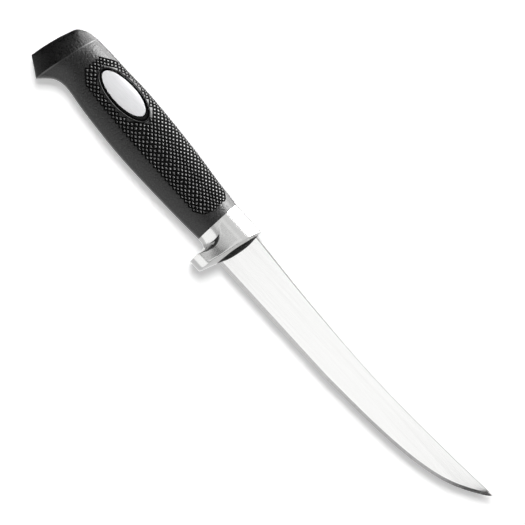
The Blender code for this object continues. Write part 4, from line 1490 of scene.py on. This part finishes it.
class KNIFE_OT_badge(bpy.types.Operator):
    """Makes the bare oval plate on the grip"""

    bl_idname = "knife.make_badge"
    bl_label = "Badge plate"

    def execute(self, context):
        dress(build_badge(context.scene.knife_badge), "badge_metal", "badge_plate")
        return {"FINISHED"}


class KNIFE_OT_core(bpy.types.Operator):
    """Gives the hidden handle core its plastic"""

    bl_idname = "knife.finish_core"
    bl_label = "Handle core"

    def execute(self, context):
        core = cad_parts["handle_core"]
        core.data.materials.clear()
        core.data.materials.append(core_plastic())
        return {"FINISHED"}


class KNIFE_OT_stage(bpy.types.Operator):
    """Sets the floor, the lights and the camera"""

    bl_idname = "knife.set_stage"
    bl_label = "Stage"

    def execute(self, context):
        settings = context.scene.knife_stage
        set_floor(settings)
        set_sky(settings)
        set_camera(settings)
        set_lamp(settings)
        for row in CARDS:
            card(*row)
        context.scene.view_settings.view_transform = "Standard"
        return {"FINISHED"}


class KNIFE_PT_panel(bpy.types.Panel):
    """Lists the knife's pieces and their settings"""

    bl_label = "Carving knife"
    bl_idname = "KNIFE_PT_panel"
    bl_space_type = "VIEW_3D"
    bl_region_type = "UI"
    bl_category = "Knife"

    def draw(self, context):
        for name, _, operators in GROUPS:
            box = self.layout.box()
            for operator in operators:
                box.operator(operator)
            settings = getattr(context.scene, name)
            for prop in settings.bl_rna.properties:
                if prop.identifier not in ("rna_type", "name"):
                    box.prop(settings, prop.identifier)


# Name and class of each group of settings, and the operators that the panel lists with them.
GROUPS = (
    ("knife_blade", BladeSettings, ("knife.make_blade",)),
    ("knife_guard", GuardSettings, ("knife.make_guard", "knife.make_seal")),
    ("knife_grip", GripSettings, ("knife.make_grip", "knife.finish_core")),
    ("knife_studs", StudSettings, ("knife.make_studs",)),
    ("knife_badge", BadgeSettings, ("knife.make_badge",)),
    ("knife_stage", StageSettings, ("knife.set_stage",)),
)
# In the order in which they run.
OPERATORS = (
    KNIFE_OT_blade,
    KNIFE_OT_guard,
    KNIFE_OT_seal,
    KNIFE_OT_grip,
    KNIFE_OT_studs,
    KNIFE_OT_badge,
    KNIFE_OT_core,
    KNIFE_OT_stage,
)


def register():
    for name, settings, _ in GROUPS:
        bpy.utils.register_class(settings)
        setattr(bpy.types.Scene, name, PointerProperty(type=settings))
    for cls in (*OPERATORS, KNIFE_PT_panel):
        bpy.utils.register_class(cls)


def unregister():
    for cls in (*OPERATORS, KNIFE_PT_panel):
        bpy.utils.unregister_class(cls)
    for name, settings, _ in GROUPS:
        delattr(bpy.types.Scene, name)
        bpy.utils.unregister_class(settings)


def main():
    """Makes the knife and its stage."""
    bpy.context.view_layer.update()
    register()
    for operator in OPERATORS:
        category, name = operator.bl_idname.split(".")
        getattr(getattr(bpy.ops, category), name)()


if __name__ == "__main__":
    main()
